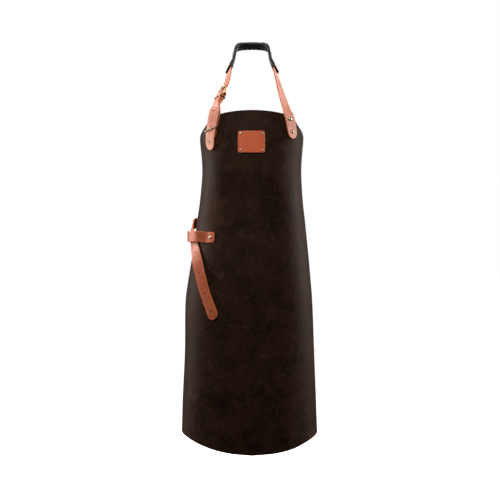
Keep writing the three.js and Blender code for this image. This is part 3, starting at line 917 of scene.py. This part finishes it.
@dataclass(frozen=True)
class Metal:
    """A metal finish with a film of age."""

    slot: Slot
    bright: Colour
    aged: Colour
    rough: float
    film: float
    relief: float = 0.00006

    def material(self) -> bpy.types.Material:
        """Build the finish once and give it again after that."""
        name = f"{self.slot.value}_dressed"
        if name in bpy.data.materials:
            return bpy.data.materials[name]
        g = Graph(name)
        stain = g.noise(260, 5, 0.65, 0.8)
        fine = g.noise(1900, 3, 0.6)
        film = (stain * 0.7 + fine * 0.3).eased(0.42, 0.66) * self.film
        colour = g.mixed(film, self.bright, self.aged)
        hairs = g.noise(2600, 2, 0.5, 0, g.stretched((0.15, 1.0, 1.0), (0.4, 0.2, 0.7)))
        return g.surface({
            "Base Color": colour, "Metallic": 1 - film * 0.35,
            "Roughness": self.rough + film * 0.3 + (fine - 0.5) * 0.12,
            "Normal": g.bump(hairs + stain * 0.6, 0.35, self.relief)})


Finish = Leather | Metal


@dataclass(frozen=True)
class Finishes:
    """Every finish of the apron."""

    body: Leather = Leather(
        Slot.BODY, tint(48, 30, 21), tint(25, 14, 9), tint(76, 54, 42), tint(17, 11, 8),
        patch=16, grain=1100, relief=0.00025, strength=0.4, rough=0.6, rough_spread=0.12,
        wear=0.45, scuff=0.4, sheen=0.0, specular=0.05)
    strap: Leather = Leather(
        Slot.STRAP, tint(196, 138, 118), tint(180, 112, 92), tint(214, 160, 140),
        tint(196, 104, 60), patch=24, grain=1300, rough=0.5)
    tail: Leather = Leather(
        Slot.TAIL, tint(164, 80, 44), tint(138, 60, 30), tint(182, 104, 68), tint(226, 120, 56),
        patch=24, grain=1300, rough=0.5)
    label: Leather = Leather(
        Slot.LABEL, tint(198, 86, 32), tint(180, 72, 24), tint(208, 106, 52), tint(108, 46, 20),
        patch=26, grain=1400, rough=0.5, wear=0.25)
    pad: Leather = Leather(
        Slot.PAD, tint(34, 31, 31), tint(18, 17, 17), tint(88, 84, 84), tint(12, 11, 11),
        patch=30, grain=1500, rough=0.6, strength=0.6, specular=0.8)
    brass: Metal = Metal(Slot.BRASS, tint(158, 128, 82), tint(64, 44, 24), 0.34, 0.75)
    nickel: Metal = Metal(Slot.NICKEL, tint(176, 166, 148), tint(96, 86, 70), 0.38, 0.65)


# Sub-assemblies.


@dataclass
class ApronBody:
    """The big sheet: a rounded bib, cut-away armholes, straight sides and a curved hem.

    Columns of outline: drop as a share of the torso's height and half width as a share
    of half. Columns of hem: distance from the middle as a share of half and rise as a
    share of hem_curve.
    """

    torso: Torso
    half: float = 310
    wall: float = 2
    hem_curve: float = 62
    crown: float = 0.018
    crown_fade: float = 0.2
    hem_fade: float = 0.6
    soften: float = 0.008
    lip: float = 0.7
    waves: float = 1.4
    waves_top: float = -540
    waves_reach: float = 140
    waves_wide: float = 70
    crease: float = 2.2
    crease_at: tuple = (140, -517)
    columns: int = 132
    rows: int = 190
    outline: tuple = (
        (0.018, 0.355), (0.038, 0.4), (0.056, 0.48), (0.071, 0.575), (0.09, 0.632),
        (0.309, 1.0), (0.95, 1.0), (0.98, 0.985), (1.0, 0.94),
    )
    hem: tuple = (
        (0.0, 0.0), (0.18, 0.075), (0.33, 0.215), (0.42, 0.35), (0.575, 0.6),
        (0.79, 0.78), (1.0, 1.0),
    )

    def half_at(self, drop: Array) -> Array:
        """Find the half width of the flat sheet at drops, with its corners softened."""
        table = np.array(self.outline)
        spread = self.soften * np.array([-1, -0.5, 0, 0.5, 1])
        near = np.minimum(spread[None, :], (1 - drop)[:, None])
        return np.interp(drop[:, None] + near, table[:, 0], table[:, 1]).mean(axis=1)

    def flat_area(self) -> float:
        """Measure the cut sheet in square metres."""
        drop = np.linspace(self.crown, 1, self.rows)
        wide = 2 * self.half_at(drop) * self.half * MM
        deep = np.diff(drop) * self.torso.height * MM
        return float(((wide[1:] + wide[:-1]) / 2 * deep).sum())

    def folds(self, s: Array, z: Array) -> Array:
        """Find how far the leather bends out of its plain wrap, in millimetres."""
        low = smooth(self.waves_top, self.waves_top - 160, z)
        side = np.exp(-((np.abs(s) - self.waves_reach) / self.waves_wide) ** 2)
        wave = np.sin(s / 31 + z / 170 + 0.6) + 0.6 * np.sin(s / 19 - z / 240)
        across, down = self.crease_at
        lean = (s - across) * 0.9 + (z - down) * 0.44
        run = (z - down) * 0.9 - (s - across) * 0.44
        crease = np.exp(-(lean / 7) ** 2 - (run / 20) ** 2)
        return low * side * wave * self.waves - crease * self.crease

    def build(self, bench: Bench, finish: Finish, rests_on: Sequence[str]) -> bpy.types.Object:
        """Bend the sheet round the torso and give it its thickness."""
        drop = np.linspace(self.crown, 1, self.rows)
        lip = self.lip / self.torso.height
        drop = np.sort(np.concatenate([drop, [self.crown + lip, 1 - lip]]))
        half = self.half_at(drop) * self.half
        inner = np.linspace(-1, 1, self.columns + 1)[1:-1]
        edge = self.lip / half
        u = np.concatenate([np.full((len(drop), 1), -1.0), edge[:, None] - 1,
                            inner[None, :] * (1 - edge[:, None]), 1 - edge[:, None],
                            np.full((len(drop), 1), 1.0)], axis=1)
        s = u * half[:, None]
        fade = 1 - smooth(self.crown, self.crown_fade, drop)
        raised = self.crown * (1 - u ** 2) * fade[:, None]
        reach = np.abs(s) / self.half
        rise = row_at(self.hem, reach.ravel())[:, 1].reshape(reach.shape) * self.hem_curve
        z = (self.torso.top - (drop[:, None] - raised) * self.torso.height
             + rise * smooth(self.hem_fade, 1, drop)[:, None])
        flat_s, flat_z = s.ravel(), z.ravel()
        points = self.torso.section(flat_s, flat_z)
        points = points + self.torso.outward(flat_s, flat_z) * self.folds(flat_s, flat_z)[:, None]
        rim = np.zeros(u.shape)
        rim[:, [0, -1]] = 1
        rim[[0, -1], :] = 1
        mesh = bench.woven(points.reshape(*u.shape, 3), rim, tube=False)
        front = min(mesh.faces, key=lambda face: face.calc_center_median().y)
        if front.normal.y > 0:
            bmesh.ops.reverse_faces(mesh, faces=mesh.faces)
        piece = bench.object("apron_body_leather", mesh)
        wall = piece.modifiers.new("wall", "SOLIDIFY")
        wall.thickness = self.wall * MM
        wall.offset = -1
        wall.use_even_offset = True
        bench.settled(piece)
        bench.finished(piece, finish, "apron_body")
        2 * self.half * MM
        self.flat_area()
        return piece


@dataclass
class Buckle:
    """A wire frame hung on a folded strap, with a pin hooked round its hinge bar."""

    hinge: Hinge
    reach: float = 21
    rise: float = 7
    half: float = 17.6
    corner: float = 2.6
    bar: float = 1.7
    bold: float = 0.3
    pin: float = 1.2
    gap: float = 0.3
    strap: float = 3
    layer_gap: float = 0.4
    room: float = 0.6
    flap: float = 27

    @property
    def fold(self) -> float:
        """Radius of the strap's middle round the hinge bar."""
        return self.bar + self.room + self.gap + self.strap / 2

    def fold_rows(self) -> list[Place]:
        """Lay out the folded end of the strap, from the flap's end round the bar."""
        layer = self.strap / 2 + self.layer_gap / 2
        under = [self.hinge.place(self.flap, -layer), self.hinge.place(15, -layer),
                 self.hinge.place(7.5, -layer - 0.5)]
        rows = [Place(row.point, -row.out) for row in under]
        for k in range(7):
            angle = -math.pi * (0.42 + 1.16 * k / 6)
            row = self.hinge.place(self.fold * math.cos(angle), self.fold * math.sin(angle))
            rows.append(Place(row.point, unit(row.point - self.hinge.point)))
        return [*rows, self.hinge.place(7.5, layer + 0.5), self.hinge.place(15, layer)]

    def frame(self) -> Wire:
        """Bend the frame from the hinge bar to the far bar."""
        lean = self.hinge.along * -self.reach + self.hinge.out * self.rise
        return Wire.loop(self.hinge.point + lean / 2, self.hinge.across, unit(lean), self.half,
                         float(np.linalg.norm(lean)) / 2, self.corner, self.bar + self.bold)

    def pin_wire(self) -> Wire:
        """Bend the pin with its hook and its point on the far bar."""
        hook = self.bar + self.gap + 0.2 + self.pin
        turns = [math.pi * turn for turn in (-0.75, -0.5, -0.25, 0, 0.25, 0.45)]
        rows = [self.hinge.place(hook * math.cos(a), hook * math.sin(a)).point for a in turns]
        rows.append(self.hinge.place(-self.reach / 2, hook + self.rise / 2 + 0.4).point)
        rows.append(self.hinge.place(-self.reach - 1.5, self.rise + hook).point)
        return Wire(Spline(rows).at(np.linspace(0, 1, 48)), self.hinge.across, self.pin, False)

    def slot(self, bench: Bench, width: float = 6) -> bmesh.types.BMesh:
        """Make the cutter of the slot that leaves room for the pin."""
        size = self.fold * 4 * MM
        turn = Matrix([self.hinge.along, self.hinge.across, self.hinge.out]).transposed()
        stand = Matrix.Translation(Vector(bench.metres(self.hinge.point))) @ turn.to_4x4()
        mesh = bmesh.new()
        bmesh.ops.create_cube(mesh, size=1.0)
        bmesh.ops.scale(mesh, vec=(size, width * MM, size), verts=mesh.verts)
        bmesh.ops.transform(mesh, matrix=stand, verts=mesh.verts)
        return mesh


@dataclass
class Lay:
    """How straps and rivets lie on the sheet: gaps and thicknesses in millimetres."""

    torso: Torso
    strap_width: float = 29
    strap_thick: float = 3
    gap: float = 0.6
    layer_gap: float = 0.4
    wall: float = 2
    seat: float = 0.45

    @property
    def under(self) -> float:
        """Height of a strap's middle above the sheet's face."""
        return self.gap + self.strap_thick / 2

    def rivet(self, name: str, place: Place, thick: float, cap: float = 5,
              post: float = 2) -> Rivet:
        """Set a rivet through a layer and the sheet.

        Args:
            name: The piece's name.
            place: Its place on the sheet's face.
            thick: Thickness of the layer that it holds.
            cap: Radius of its cap.
            post: Radius of its post.

        Returns:
            The rivet.
        """
        rise = self.gap + thick + self.seat
        return Rivet(name, place.raised(rise), rise + self.wall + 0.05, cap, post)


@dataclass
class NeckHarness:
    """Neck straps, pad, buckle, keeper and ring.

    Columns of the runs: place across, forward and up as shares of half, depth and drop,
    then the outward direction of the band.
    """

    lay: Lay
    depth: float = 60
    half: float = 60
    drop: float = 84
    bib_top: float = -206
    bib_end: float = -260
    bib_reach: float = 97
    bib_lean: float = 0.236
    tongue_shift: float = 2
    tongue_tip: float = -288
    tongue_holes: tuple = (-190, -231, -268)
    right_drops: tuple = (5, 36)
    left_drops: tuple = (9, 42)
    keeper_drop: float = 10
    keeper_wire: float = 1.1
    bold: float = 0.25
    ring_lift: float = 0.1
    ring_drop: float = 31
    ring_turn: float = 0.45
    tongue_slip: float = -2.4
    pad_width: float = 37
    pad_wall: float = 1.5
    pad_room: float = 0.9
    cuff_flare: float = 3.6
    cuff_length: float = 34
    pad_sides: int = 64
    pad_run: tuple = (
        (0.0, 1.0, 0.0, 0.0, 0.3, 0.95), (0.4, 0.95, -0.02, 0.16, 0.3, 0.94),
        (0.64, 0.74, -0.09, 0.6, 0.28, 0.75), (0.745, 0.44, -0.22, 0.9, 0.14, 0.4),
        (0.775, 0.06, -0.44, 0.98, 0.0, 0.2), (0.86, -0.32, -0.7, 0.96, -0.12, 0.2),
        (0.965, -0.66, -0.93, 0.93, -0.28, 0.2),
    )
    right_run: tuple = (
        (1.12, -0.88, -1.36, 0.88, -0.4, 0.3), (1.28, -1.14, -1.78, 0.78, -0.56, 0.34),
        (1.42, -1.38, -2.13, 0.68, -0.72, 0.16),
    )
    right_ease: tuple = (-2.2, -1.4, 0)
    left_bend: tuple = (1.06, -0.85, -1.25, 0.88, -0.4, 0.3)

    def __post_init__(self) -> None:
        """Lay out the runs of the straps."""
        self.buckle = Buckle(Hinge.at((-77, -73.5, -149), (-0.36, -0.42, -0.83),
                                      (-0.82, -0.34, 0.46)))
        hinge, under, thick = self.buckle.hinge, self.lay.under, self.lay.strap_thick
        bib = ((-196, 0.6), (-212, 0.0), (-236, 0.0), (self.bib_end, 0.0))
        self.buckle_run = Run([
            *self.buckle.fold_rows(), hinge.place(30, 1.6),
            *[self.on_bib(Side.LEFT, z, under + lift) for z, lift in bib]])
        right = [self.row(row, Side.RIGHT) for row in self.right_run]
        edge, *lower = [self.on_bib(Side.RIGHT, z, under + lift * 2 / 3) for z, lift in bib]
        right += [Place(edge.point + self.right_ease, unit(edge.out + unit(right[-1].out))), *lower]
        pad = [self.row(row, Side.RIGHT) for row in reversed(self.pad_run)]
        pad += [self.row(row, Side.LEFT) for row in self.pad_run[1:]]
        slack = self.buckle.gap + 0.5
        room = 2 * self.keeper_wire + slack + 2 * self.buckle.gap
        self.ring_slack = slack
        bar = self.buckle.rise - self.buckle.bar - self.buckle.gap - thick / 2 - 1
        gap = self.lay.layer_gap
        tongue = [
            hinge.place(-self.buckle.reach, bar), hinge.place(-9, 6.8),
            hinge.place(1, self.buckle.fold + thick + gap + 0.5), hinge.place(12, 6.6),
            self.over(-172, gap + 1.2, 0.7), self.over(-190, gap + 1.8, 1.0),
            self.over(-206, room, 0.9), self.over(-224, room, 0.6), self.over(-244, room, 0.2),
            self.over(-256, room - 0.2),
            self.on_bib(Side.LEFT, -274, under + 2.2, self.tongue_shift),
            self.on_bib(Side.LEFT, self.tongue_tip, under + 0.4, self.tongue_shift)]
        self.run = Run([*reversed(right), *pad, self.row(self.left_bend, Side.LEFT), *tongue])
        self.pad_start = self.run.of_row(len(right))
        self.pad_end = self.run.of_row(len(right) + len(pad) - 1)

    def row(self, values: Sequence[float], side: Side) -> Place:
        """Read a row of a run on one side."""
        x, y, z, nx, ny, nz = values
        return Place(np.array([side.value * x * self.half, y * self.depth, z * self.drop]),
                     np.array([side.value * nx, ny, nz]))

    def on_bib(self, side: Side, z: float, lift: float, shift: float = 0) -> Place:
        """Find a place on the bib along the line of a neck strap."""
        reach = self.bib_reach + (self.bib_top - z) * self.bib_lean
        return self.lay.torso.on(side.value * reach + shift, z, lift)

    def over(self, z: float, gap: float, slip: float = 0) -> Place:
        """Find a place over the buckle strap.

        Args:
            z: Its height.
            gap: Gap between the two layers.
            slip: Share of tongue_slip by which the tongue lies to one side.

        Returns:
            The place.
        """
        at = self.buckle_run.at_height(z, 0.4)
        rise = self.lay.strap_thick + gap
        aside = self.tongue_shift + self.tongue_slip * slip
        return Place(at.point[0] + at.out[0] * rise + at.across[0] * aside, at.out[0])

    def shift(self) -> Array:
        """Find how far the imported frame's origin, under the pad's middle, lies away."""
        nape = self.run.at((self.pad_start + self.pad_end) / 2)
        rise = self.lay.strap_thick / 2 + self.pad_room + self.pad_wall
        under = nape.place(-rise).point
        return np.array([0, -under[1], -under[2]])

    def rivets(self) -> list[tuple[Rivet, str]]:
        """Set the rivets of both neck straps."""
        made = []
        for side, drops in ((Side.RIGHT, self.right_drops), (Side.LEFT, self.left_drops)):
            for i, drop in enumerate(drops):
                node = f"neck_rivet_{side.name.lower()}_{i + 1}"
                place = self.on_bib(side, self.bib_top - drop, 0)
                made.append((self.lay.rivet(f"{node}_turned", place, self.lay.strap_thick), node))
        return made

    def wrinkles(self, distance: Array, angle: Array) -> Array:
        """Find the pad's cross wrinkles in millimetres, gathered at its bends."""
        middle = (self.pad_start + self.pad_end) / 2
        t = (distance - middle)[:, None] + 3.0 * np.sin(angle + 0.8)[None, :]
        ripple = (np.sin(t * 0.62) + 0.6 * np.sin(t * 1.13 + 1.7) + 0.4 * np.sin(t * 0.31 + 0.5))
        bends = np.exp(-(t / 16) ** 2) + 0.8 * np.exp(-((np.abs(t) - 52) / 18) ** 2) + 0.25
        return 0.32 * ripple * bends

    def pad(self, bench: Bench) -> bpy.types.Object:
        """Build the pad: a flat sleeve with flared cuffs round the middle of the strap."""
        inside = self.pad_width / 2 - self.pad_wall
        rise = self.lay.strap_thick / 2 + self.pad_room
        inner = np.arange(self.pad_start + 2, self.pad_end - 1, 1.6)
        distance = np.concatenate([[self.pad_start, self.pad_start + 0.8], inner,
                                   [self.pad_end - 0.8, self.pad_end]])
        frames = self.run.at(distance)
        from_end = np.minimum(distance - self.pad_start, self.pad_end - distance)
        flare = self.cuff_flare * (1 - smooth(0, self.cuff_length, from_end))
        angle = 2 * math.pi * (np.arange(self.pad_sides) + 0.5) / self.pad_sides
        c, s = np.cos(angle), np.sin(angle)
        shape_w = np.sign(c) * np.abs(c) ** 0.4
        shape_n = np.sign(s) * np.abs(s) ** 0.6

        def rings(grow: float, ripple: float) -> Array:
            """Points of the sleeve's skin, grown from its inside."""
            w = shape_w * (inside + grow)
            n = shape_n[None, :] * (rise + grow + np.where(s > 0, 1, 0) * flare[:, None])
            n = n + ripple * self.wrinkles(distance, angle) * np.sign(s)
            return (frames.point[:, None] + frames.across[:, None] * w[None, :, None]
                    + frames.out[:, None] * n[..., None])

        outer, lining = rings(self.pad_wall, 1.0), rings(0, 0)
        lips = (outer + lining) / 2
        along = 0.5 * frames.along
        start = lips[:1] - along[:1, None]
        end = lips[-1:] + along[-1:, None]
        skin = np.concatenate([start, outer, end, lining[::-1]])
        rim = np.zeros(len(skin))
        rim[[0, 1, len(outer), len(outer) + 1]] = 0.6
        mesh = bench.woven(skin, rim[:, None], ring=True)
        piece = bench.object("neck_pad_sleeve", mesh)
        return piece

    def build(self, bench: Bench, finishes: Finishes) -> str:
        """Build every piece of the harness.

        Args:
            bench: The bench.
            finishes: The finishes.

        Returns:
            Name of the strap that carries the sheet.
        """
        lay, strap = self.lay, finishes.strap
        thick = lay.strap_thick
        rivets = self.rivets()
        seats = [rivet.seat for rivet, _ in rivets]
        long = Band("neck_strap_leather", self.run, lay.strap_width, thick, 9, 15,
                    dents=seats[:2])
        holes = [self.run.at_height(z).place() for z in self.tongue_holes]
        neck = bench.finished(long.build(bench, holes), strap, "neck_strap")
        short = Band("neck_buckle_strap_leather", self.buckle_run, lay.strap_width, thick, 0, 9,
                     step=1.2, dents=seats[2:])
        folded = short.build(bench)
        bench.cut(folded, self.buckle.slot(bench))
        bench.finished(folded, strap, "neck_buckle_strap")
        pad = bench.finished(self.pad(bench), finishes.pad, "neck_pad")
        for rivet, node in rivets:
            bench.finished(rivet.build(bench), finishes.nickel, node)
        buckle = bench.object("neck_buckle_frame", self.buckle.frame().mesh(bench))
        bench.finished(buckle, finishes.brass, "neck_buckle")
        pin = bench.object("neck_buckle_prong", self.buckle.pin_wire().mesh(bench))
        bench.finished(pin, finishes.brass, "neck_buckle_pin")
        self.loops(bench, finishes)
        return neck.name

    def loops(self, bench: Bench, finishes: Finishes) -> None:
        """Bend the keeper below the buckle and the ring near the tongue's end."""
        hinge, thick, wire = self.buckle.hinge, self.lay.strap_thick, self.keeper_wire
        gap = self.buckle.gap
        low = -thick - self.lay.layer_gap / 2 - 2 * gap - 0.2 - wire
        high = 6.8 + thick / 2 + gap + wire + 0.5
        half = self.lay.strap_width / 2 + wire + 1
        middle = hinge.place(self.keeper_drop, (low + high) / 2).point
        keeper = Wire.loop(middle, hinge.across, hinge.out, half + self.bold,
                           (high - low) / 2 + self.bold, 2.4, wire + self.bold)
        bench.finished(bench.object("neck_keeper_wire", keeper.mesh(bench)), finishes.brass,
                       "neck_keeper")
        at = self.run.at_height(self.bib_top - self.ring_drop)
        turned = (at.across[0] * math.cos(self.ring_turn)
                  + np.cross(at.out[0], at.across[0]) * math.sin(self.ring_turn))
        ring = Wire.loop(at.place(self.ring_lift).point, turned, at.out[0],
                         half / math.cos(self.ring_turn) + self.bold,
                         thick / 2 + self.ring_slack + wire + self.ring_lift, 2.4,
                         wire + self.bold)
        bench.finished(bench.object("neck_ring_wire", ring.mesh(bench)), finishes.nickel,
                       "neck_ring")


@dataclass
class Label:
    """A bare leather patch on the bib, held by four small rivets."""

    lay: Lay
    width: float = 68
    height: float = 56
    thick: float = 2.4
    corner: float = 6
    centre: tuple = (-2, -270)
    rivet_inset: float = 7
    cap: float = 3.5
    post: float = 1.3

    def build(self, bench: Bench, finishes: Finishes) -> None:
        """Build the patch and its rivets."""
        x, z = self.centre
        lift = self.lay.gap + self.thick / 2
        run = Run([self.lay.torso.on(x + share * self.width / 2, z, lift)
                   for share in (-1, -0.5, 0, 0.5, 1)])
        rivets = []
        for i, (sx, sz) in enumerate(((-1, 1), (1, 1), (-1, -1), (1, -1))):
            place = self.lay.torso.on(x + sx * (self.width / 2 - self.rivet_inset),
                                      z + sz * (self.height / 2 - self.rivet_inset))
            name = f"label_rivet_{i + 1}"
            rivets.append((self.lay.rivet(f"{name}_turned", place, self.thick, self.cap,
                                          self.post), name))
        patch = Band("label_patch_leather", run, self.height, self.thick, self.corner,
                     self.corner, step=1.4, pitch=1.4, crease=0.12, inset=1.8,
                     dents=[rivet.seat for rivet, _ in rivets], dent_depth=0.25,
                     dent_ring=3.8, dent_soft=1.1)
        bench.finished(patch.build(bench), finishes.label, "label_patch")
        for rivet, node in rivets:
            bench.finished(rivet.build(bench), finishes.nickel, node)


@dataclass
class WaistHarness:
    """Waist strap with its tail in front, the tab that holds it and the hidden buckle.

    Columns of tail_run: place across, forward and down as shares of side, front and
    drop, then the outward direction. Columns of tab_run: place across and forward as
    shares of side and front, then the outward direction.
    """

    lay: Lay
    level: float = -472
    back: float = 108
    rivet_places: tuple = (268, 290)
    anchor_places: tuple = (-256, -272)
    hinge_place: float = -300
    hinge_lift: float = 7
    rise: float = 6
    side: float = 150
    front: float = 100
    drop: float = 250
    holes: tuple = (0.31, 0.506, 0.719, 0.895)
    tab_width: float = 27
    tab_thick: float = 2.5
    tab_level: float = -507
    tab_front: float = -97
    tab_rear: float = -280
    tab_inset: float = 12
    tab_dip: float = 3
    tail_run: tuple = (
        (-1.0, 0.34, 0.0, -0.86, 0.5, 0.1), (-1.045, 0.08, -0.04, -0.9, 0.05, 0.3),
        (-1.04, -0.16, -0.13, -0.93, -0.3, 0.2), (-0.985, -0.58, -0.24, -0.66, -0.75, 0.05),
        (-0.935, -0.84, -0.38, -0.45, -0.89, 0.05), (-0.88, -0.98, -0.52, -0.45, -0.89, 0.05),
        (-0.785, -1.08, -0.73, -0.46, -0.89, 0.0), (-0.68, -1.17, -0.9, -0.42, -0.9, 0.0),
        (-0.645, -1.2, -0.98, -0.4, -0.9, 0.0),
    )
    tab_run: tuple = (
        (-0.96, -0.78, -0.65, -0.76), (-1.085, -0.5, -0.88, -0.47), (-1.11, -0.18, -1, -0.1),
        (-1.08, 0.14, -0.97, 0.22), (-1.02, 0.36, -0.9, 0.44),
    )

    def __post_init__(self) -> None:
        """Lay out the runs of the strap, the buckle strap and the tab."""
        on, under, level = self.lay.torso.on, self.lay.under, self.level
        seat = on(self.hinge_place, level, self.hinge_lift)
        ahead = on(self.hinge_place + 20, level, self.hinge_lift)
        self.buckle = Buckle(Hinge.at(seat.point, ahead.point - seat.point, seat.out),
                             rise=self.rise)
        hinge, thick = self.buckle.hinge, self.lay.strap_thick
        round_back = [
            Place(np.array([share * self.back, self.back - 14 * share ** 2, level]),
                  unit(np.array([0.3 * share, 1, 0]))) for share in (0.55, 0, -0.5)]
        bar = self.rise - self.buckle.bar - self.buckle.gap - thick / 2 - 0.9
        tail = [Place(np.array([x * self.side, y * self.front, level + z * self.drop]),
                      np.array([nx, ny, nz])) for x, y, z, nx, ny, nz in self.tail_run]
        self.run = Run([
            *[on(s, level, under) for s in (256, 270, 284, 300)], *round_back,
            hinge.place(-self.buckle.reach, bar), hinge.place(-9, 5.8), hinge.place(1, 7.4),
            hinge.place(14, 7),
            on(self.hinge_place + 38, level, under + thick + self.lay.layer_gap + 4), *tail])
        self.anchor_run = Run([*self.buckle.fold_rows()[1:],
                               *[on(s, level, under) for s in (-276, -264, -250, -244)]])
        lift = self.lay.gap + self.tab_thick / 2 + 0.3
        middle = [Place(np.array([x * self.side, y * self.front, self.tab_level]),
                        np.array([nx, ny, 0.0])) for x, y, nx, ny in self.tab_run]
        self.tab_line = Run([
            *[on(self.tab_front + step, self.tab_level - self.tab_dip, lift)
              for step in (0, -12, -24)],
            *middle,
            *[on(self.tab_rear + step, self.tab_level, lift) for step in (24, 12, 0)]])

    def rivets(self) -> list[tuple[Rivet, str]]:
        """Set the rivets at both ends of the strap."""
        made = []
        for label, places in (("right", self.rivet_places), ("left", self.anchor_places)):
            for i, s in enumerate(places):
                node = f"waist_rivet_{label}_{i + 1}"
                place = self.lay.torso.on(s, self.level)
                made.append((self.lay.rivet(f"{node}_turned", place, self.lay.strap_thick), node))
        return made

    def build(self, bench: Bench, finishes: Finishes) -> None:
        """Build every piece of the harness."""
        tail, width, thick = finishes.tail, self.lay.strap_width - 1, self.lay.strap_thick
        rivets = self.rivets()
        seats = [rivet.seat for rivet, _ in rivets]
        strap = Band("waist_strap_leather", self.run, width, thick, 9, 14, dents=seats[:2])
        holes = [self.run.at_height(self.level - share * self.drop).place()
                 for share in self.holes]
        bench.finished(strap.build(bench, holes), tail, "waist_strap")
        anchor = Band("waist_buckle_strap_leather", self.anchor_run, width, thick, 0, 9,
                      step=1.2, dents=seats[2:])
        folded = anchor.build(bench)
        bench.cut(folded, self.buckle.slot(bench))
        bench.finished(folded, tail, "waist_buckle_strap")
        hinge, bar = self.buckle.hinge, self.buckle.bar
        mesh = self.buckle.frame().mesh(bench)
        prong = Spline([hinge.place(0, 0.4).point,
                        hinge.place(-self.buckle.reach / 2, 6.6).point,
                        hinge.place(-self.buckle.reach - 1.5, self.rise + bar + 0.6).point])
        pin = Wire(prong.at(np.linspace(0, 1, 24)), hinge.across, self.buckle.pin, False)
        part = pin.mesh(bench)
        joined = bpy.data.meshes.new("prong")
        part.to_mesh(joined)
        part.free()
        mesh.from_mesh(joined)
        bpy.data.meshes.remove(joined)
        bench.finished(bench.object("waist_buckle_frame", mesh), finishes.brass, "waist_buckle")
        for rivet, node in rivets:
            bench.finished(rivet.build(bench), finishes.nickel, node)
        self.tab(bench, finishes)

    def tab(self, bench: Bench, finishes: Finishes) -> None:
        """Build the tab and its rivets."""
        places = [self.lay.torso.on(s, self.tab_level - dip) for s, dip in (
            (self.tab_front - self.tab_inset, self.tab_dip),
            (self.tab_rear + self.tab_inset, 0))]
        rivets = [self.lay.rivet(f"tab_rivet_{i + 1}_turned", place, self.tab_thick)
                  for i, place in enumerate(places)]
        tab = Band("waist_tab_leather", self.tab_line, self.tab_width, self.tab_thick, 6, 6,
                   step=1.6, pitch=1.8, crease=0.3, inset=2.9,
                   dents=[rivet.seat for rivet in rivets])
        bench.finished(tab.build(bench), finishes.tail, "waist_tab")
        for i, rivet in enumerate(rivets):
            bench.finished(rivet.build(bench), finishes.nickel, f"tab_rivet_{i + 1}")


@dataclass
class Studio:
    """Camera, pale floor and soft lights, in metres."""

    eye: tuple = (-0.00575, -3.18875, -0.5383)
    lens: float = 86.4
    sensor: float = 36.0
    floor_level: float = -1.35
    floor_size: float = 60.0
    sky: float = 1.0
    fill: float = 0.07
    glow: float = 1.04
    warmth: tuple = (1.0, 0.945, 0.89)

    def camera(self) -> None:
        """Stand the camera where the photograph was taken from."""
        data = bpy.data.cameras.new("camera")
        data.lens = self.lens
        data.sensor_width = self.sensor
        data.clip_end = 100
        camera = bpy.data.objects.new("camera", data)
        camera.location = self.eye
        camera.rotation_euler = (math.pi / 2, 0, 0)
        bpy.context.scene.collection.objects.link(camera)
        bpy.context.scene.camera = camera

    def softbox(self, name: str, at: tuple, aim: tuple, size: tuple, power: float) -> None:
        """Hang a soft light.

        Args:
            name: Its name.
            at: Where it hangs.
            aim: What it points at.
            size: Width and height.
            power: Watts.
        """
        data = bpy.data.lights.new(name, "AREA")
        data.shape = "RECTANGLE"
        data.size, data.size_y = size
        data.energy = power
        data.color = self.warmth
        lamp = bpy.data.objects.new(name, data)
        lamp.visible_camera = False
        lamp.location = at
        lamp.rotation_euler = (Vector(aim) - Vector(at)).to_track_quat("-Z", "Y").to_euler()
        bpy.context.scene.collection.objects.link(lamp)

    def build(self) -> None:
        """Lay the floor and hang the lights."""
        scene = bpy.context.scene
        scene.view_settings.view_transform = "Standard"
        world = bpy.data.worlds.new("studio")
        world.use_nodes = True
        tree = world.node_tree
        sky = tree.nodes["Background"]
        sky.inputs["Color"].default_value = (1.0, 1.0, 1.0, 1.0)
        rays = tree.nodes.new("ShaderNodeLightPath")
        strength = tree.nodes.new("ShaderNodeMapRange")
        strength.inputs["To Min"].default_value = self.fill
        strength.inputs["To Max"].default_value = self.sky
        tree.links.new(rays.outputs["Is Camera Ray"], strength.inputs["Value"])
        tree.links.new(strength.outputs["Result"], sky.inputs["Strength"])
        scene.world = world
        mesh = bmesh.new()
        bmesh.ops.create_grid(mesh, x_segments=4, y_segments=4, size=self.floor_size / 2)
        bmesh.ops.translate(mesh, vec=(0, 0, self.floor_level), verts=mesh.verts)
        data = bpy.data.meshes.new("floor")
        mesh.to_mesh(data)
        mesh.free()
        floor = bpy.data.objects.new("floor", data)
        scene.collection.objects.link(floor)
        g = Graph("pale_floor")
        pale = (0.95, 0.95, 0.95, 1.0)
        data.materials.append(g.surface({
            "Base Color": pale, "Roughness": 0.9, "Emission Color": pale,
            "Emission Strength": self.glow}))
        floor.visible_diffuse = False
        floor.visible_glossy = False
        self.softbox("left_box", (-2.2, 0.5, 0.1), (0, 0, -0.4), (1.0, 1.7), 98)
        self.softbox("right_box", (2.2, 0.5, 0.1), (0, 0, -0.4), (1.0, 1.7), 92)
        self.softbox("front_box", (-0.3, -1.5, 0.75), (0, -0.15, -0.2), (1.2, 0.8), 28)
        self.softbox("back_box", (0.3, 2.6, 0.4), (0, 0, -0.5), (1.6, 1.2), 45)


def main() -> None:
    """Build the apron piece by piece."""
    logging.basicConfig(level=logging.INFO, format="%(name)s: %(message)s")
    studio = Studio()
    studio.camera()
    studio.build()
    finishes = Finishes()
    lay = Lay(Torso())
    neck = NeckHarness(lay)
    bench = Bench(neck.shift())
    carrier = neck.build(bench, finishes)
    ApronBody(lay.torso).build(bench, finishes.body, [carrier])
    Label(lay).build(bench, finishes)
    WaistHarness(lay).build(bench, finishes)


if __name__ == "__main__":
    main()
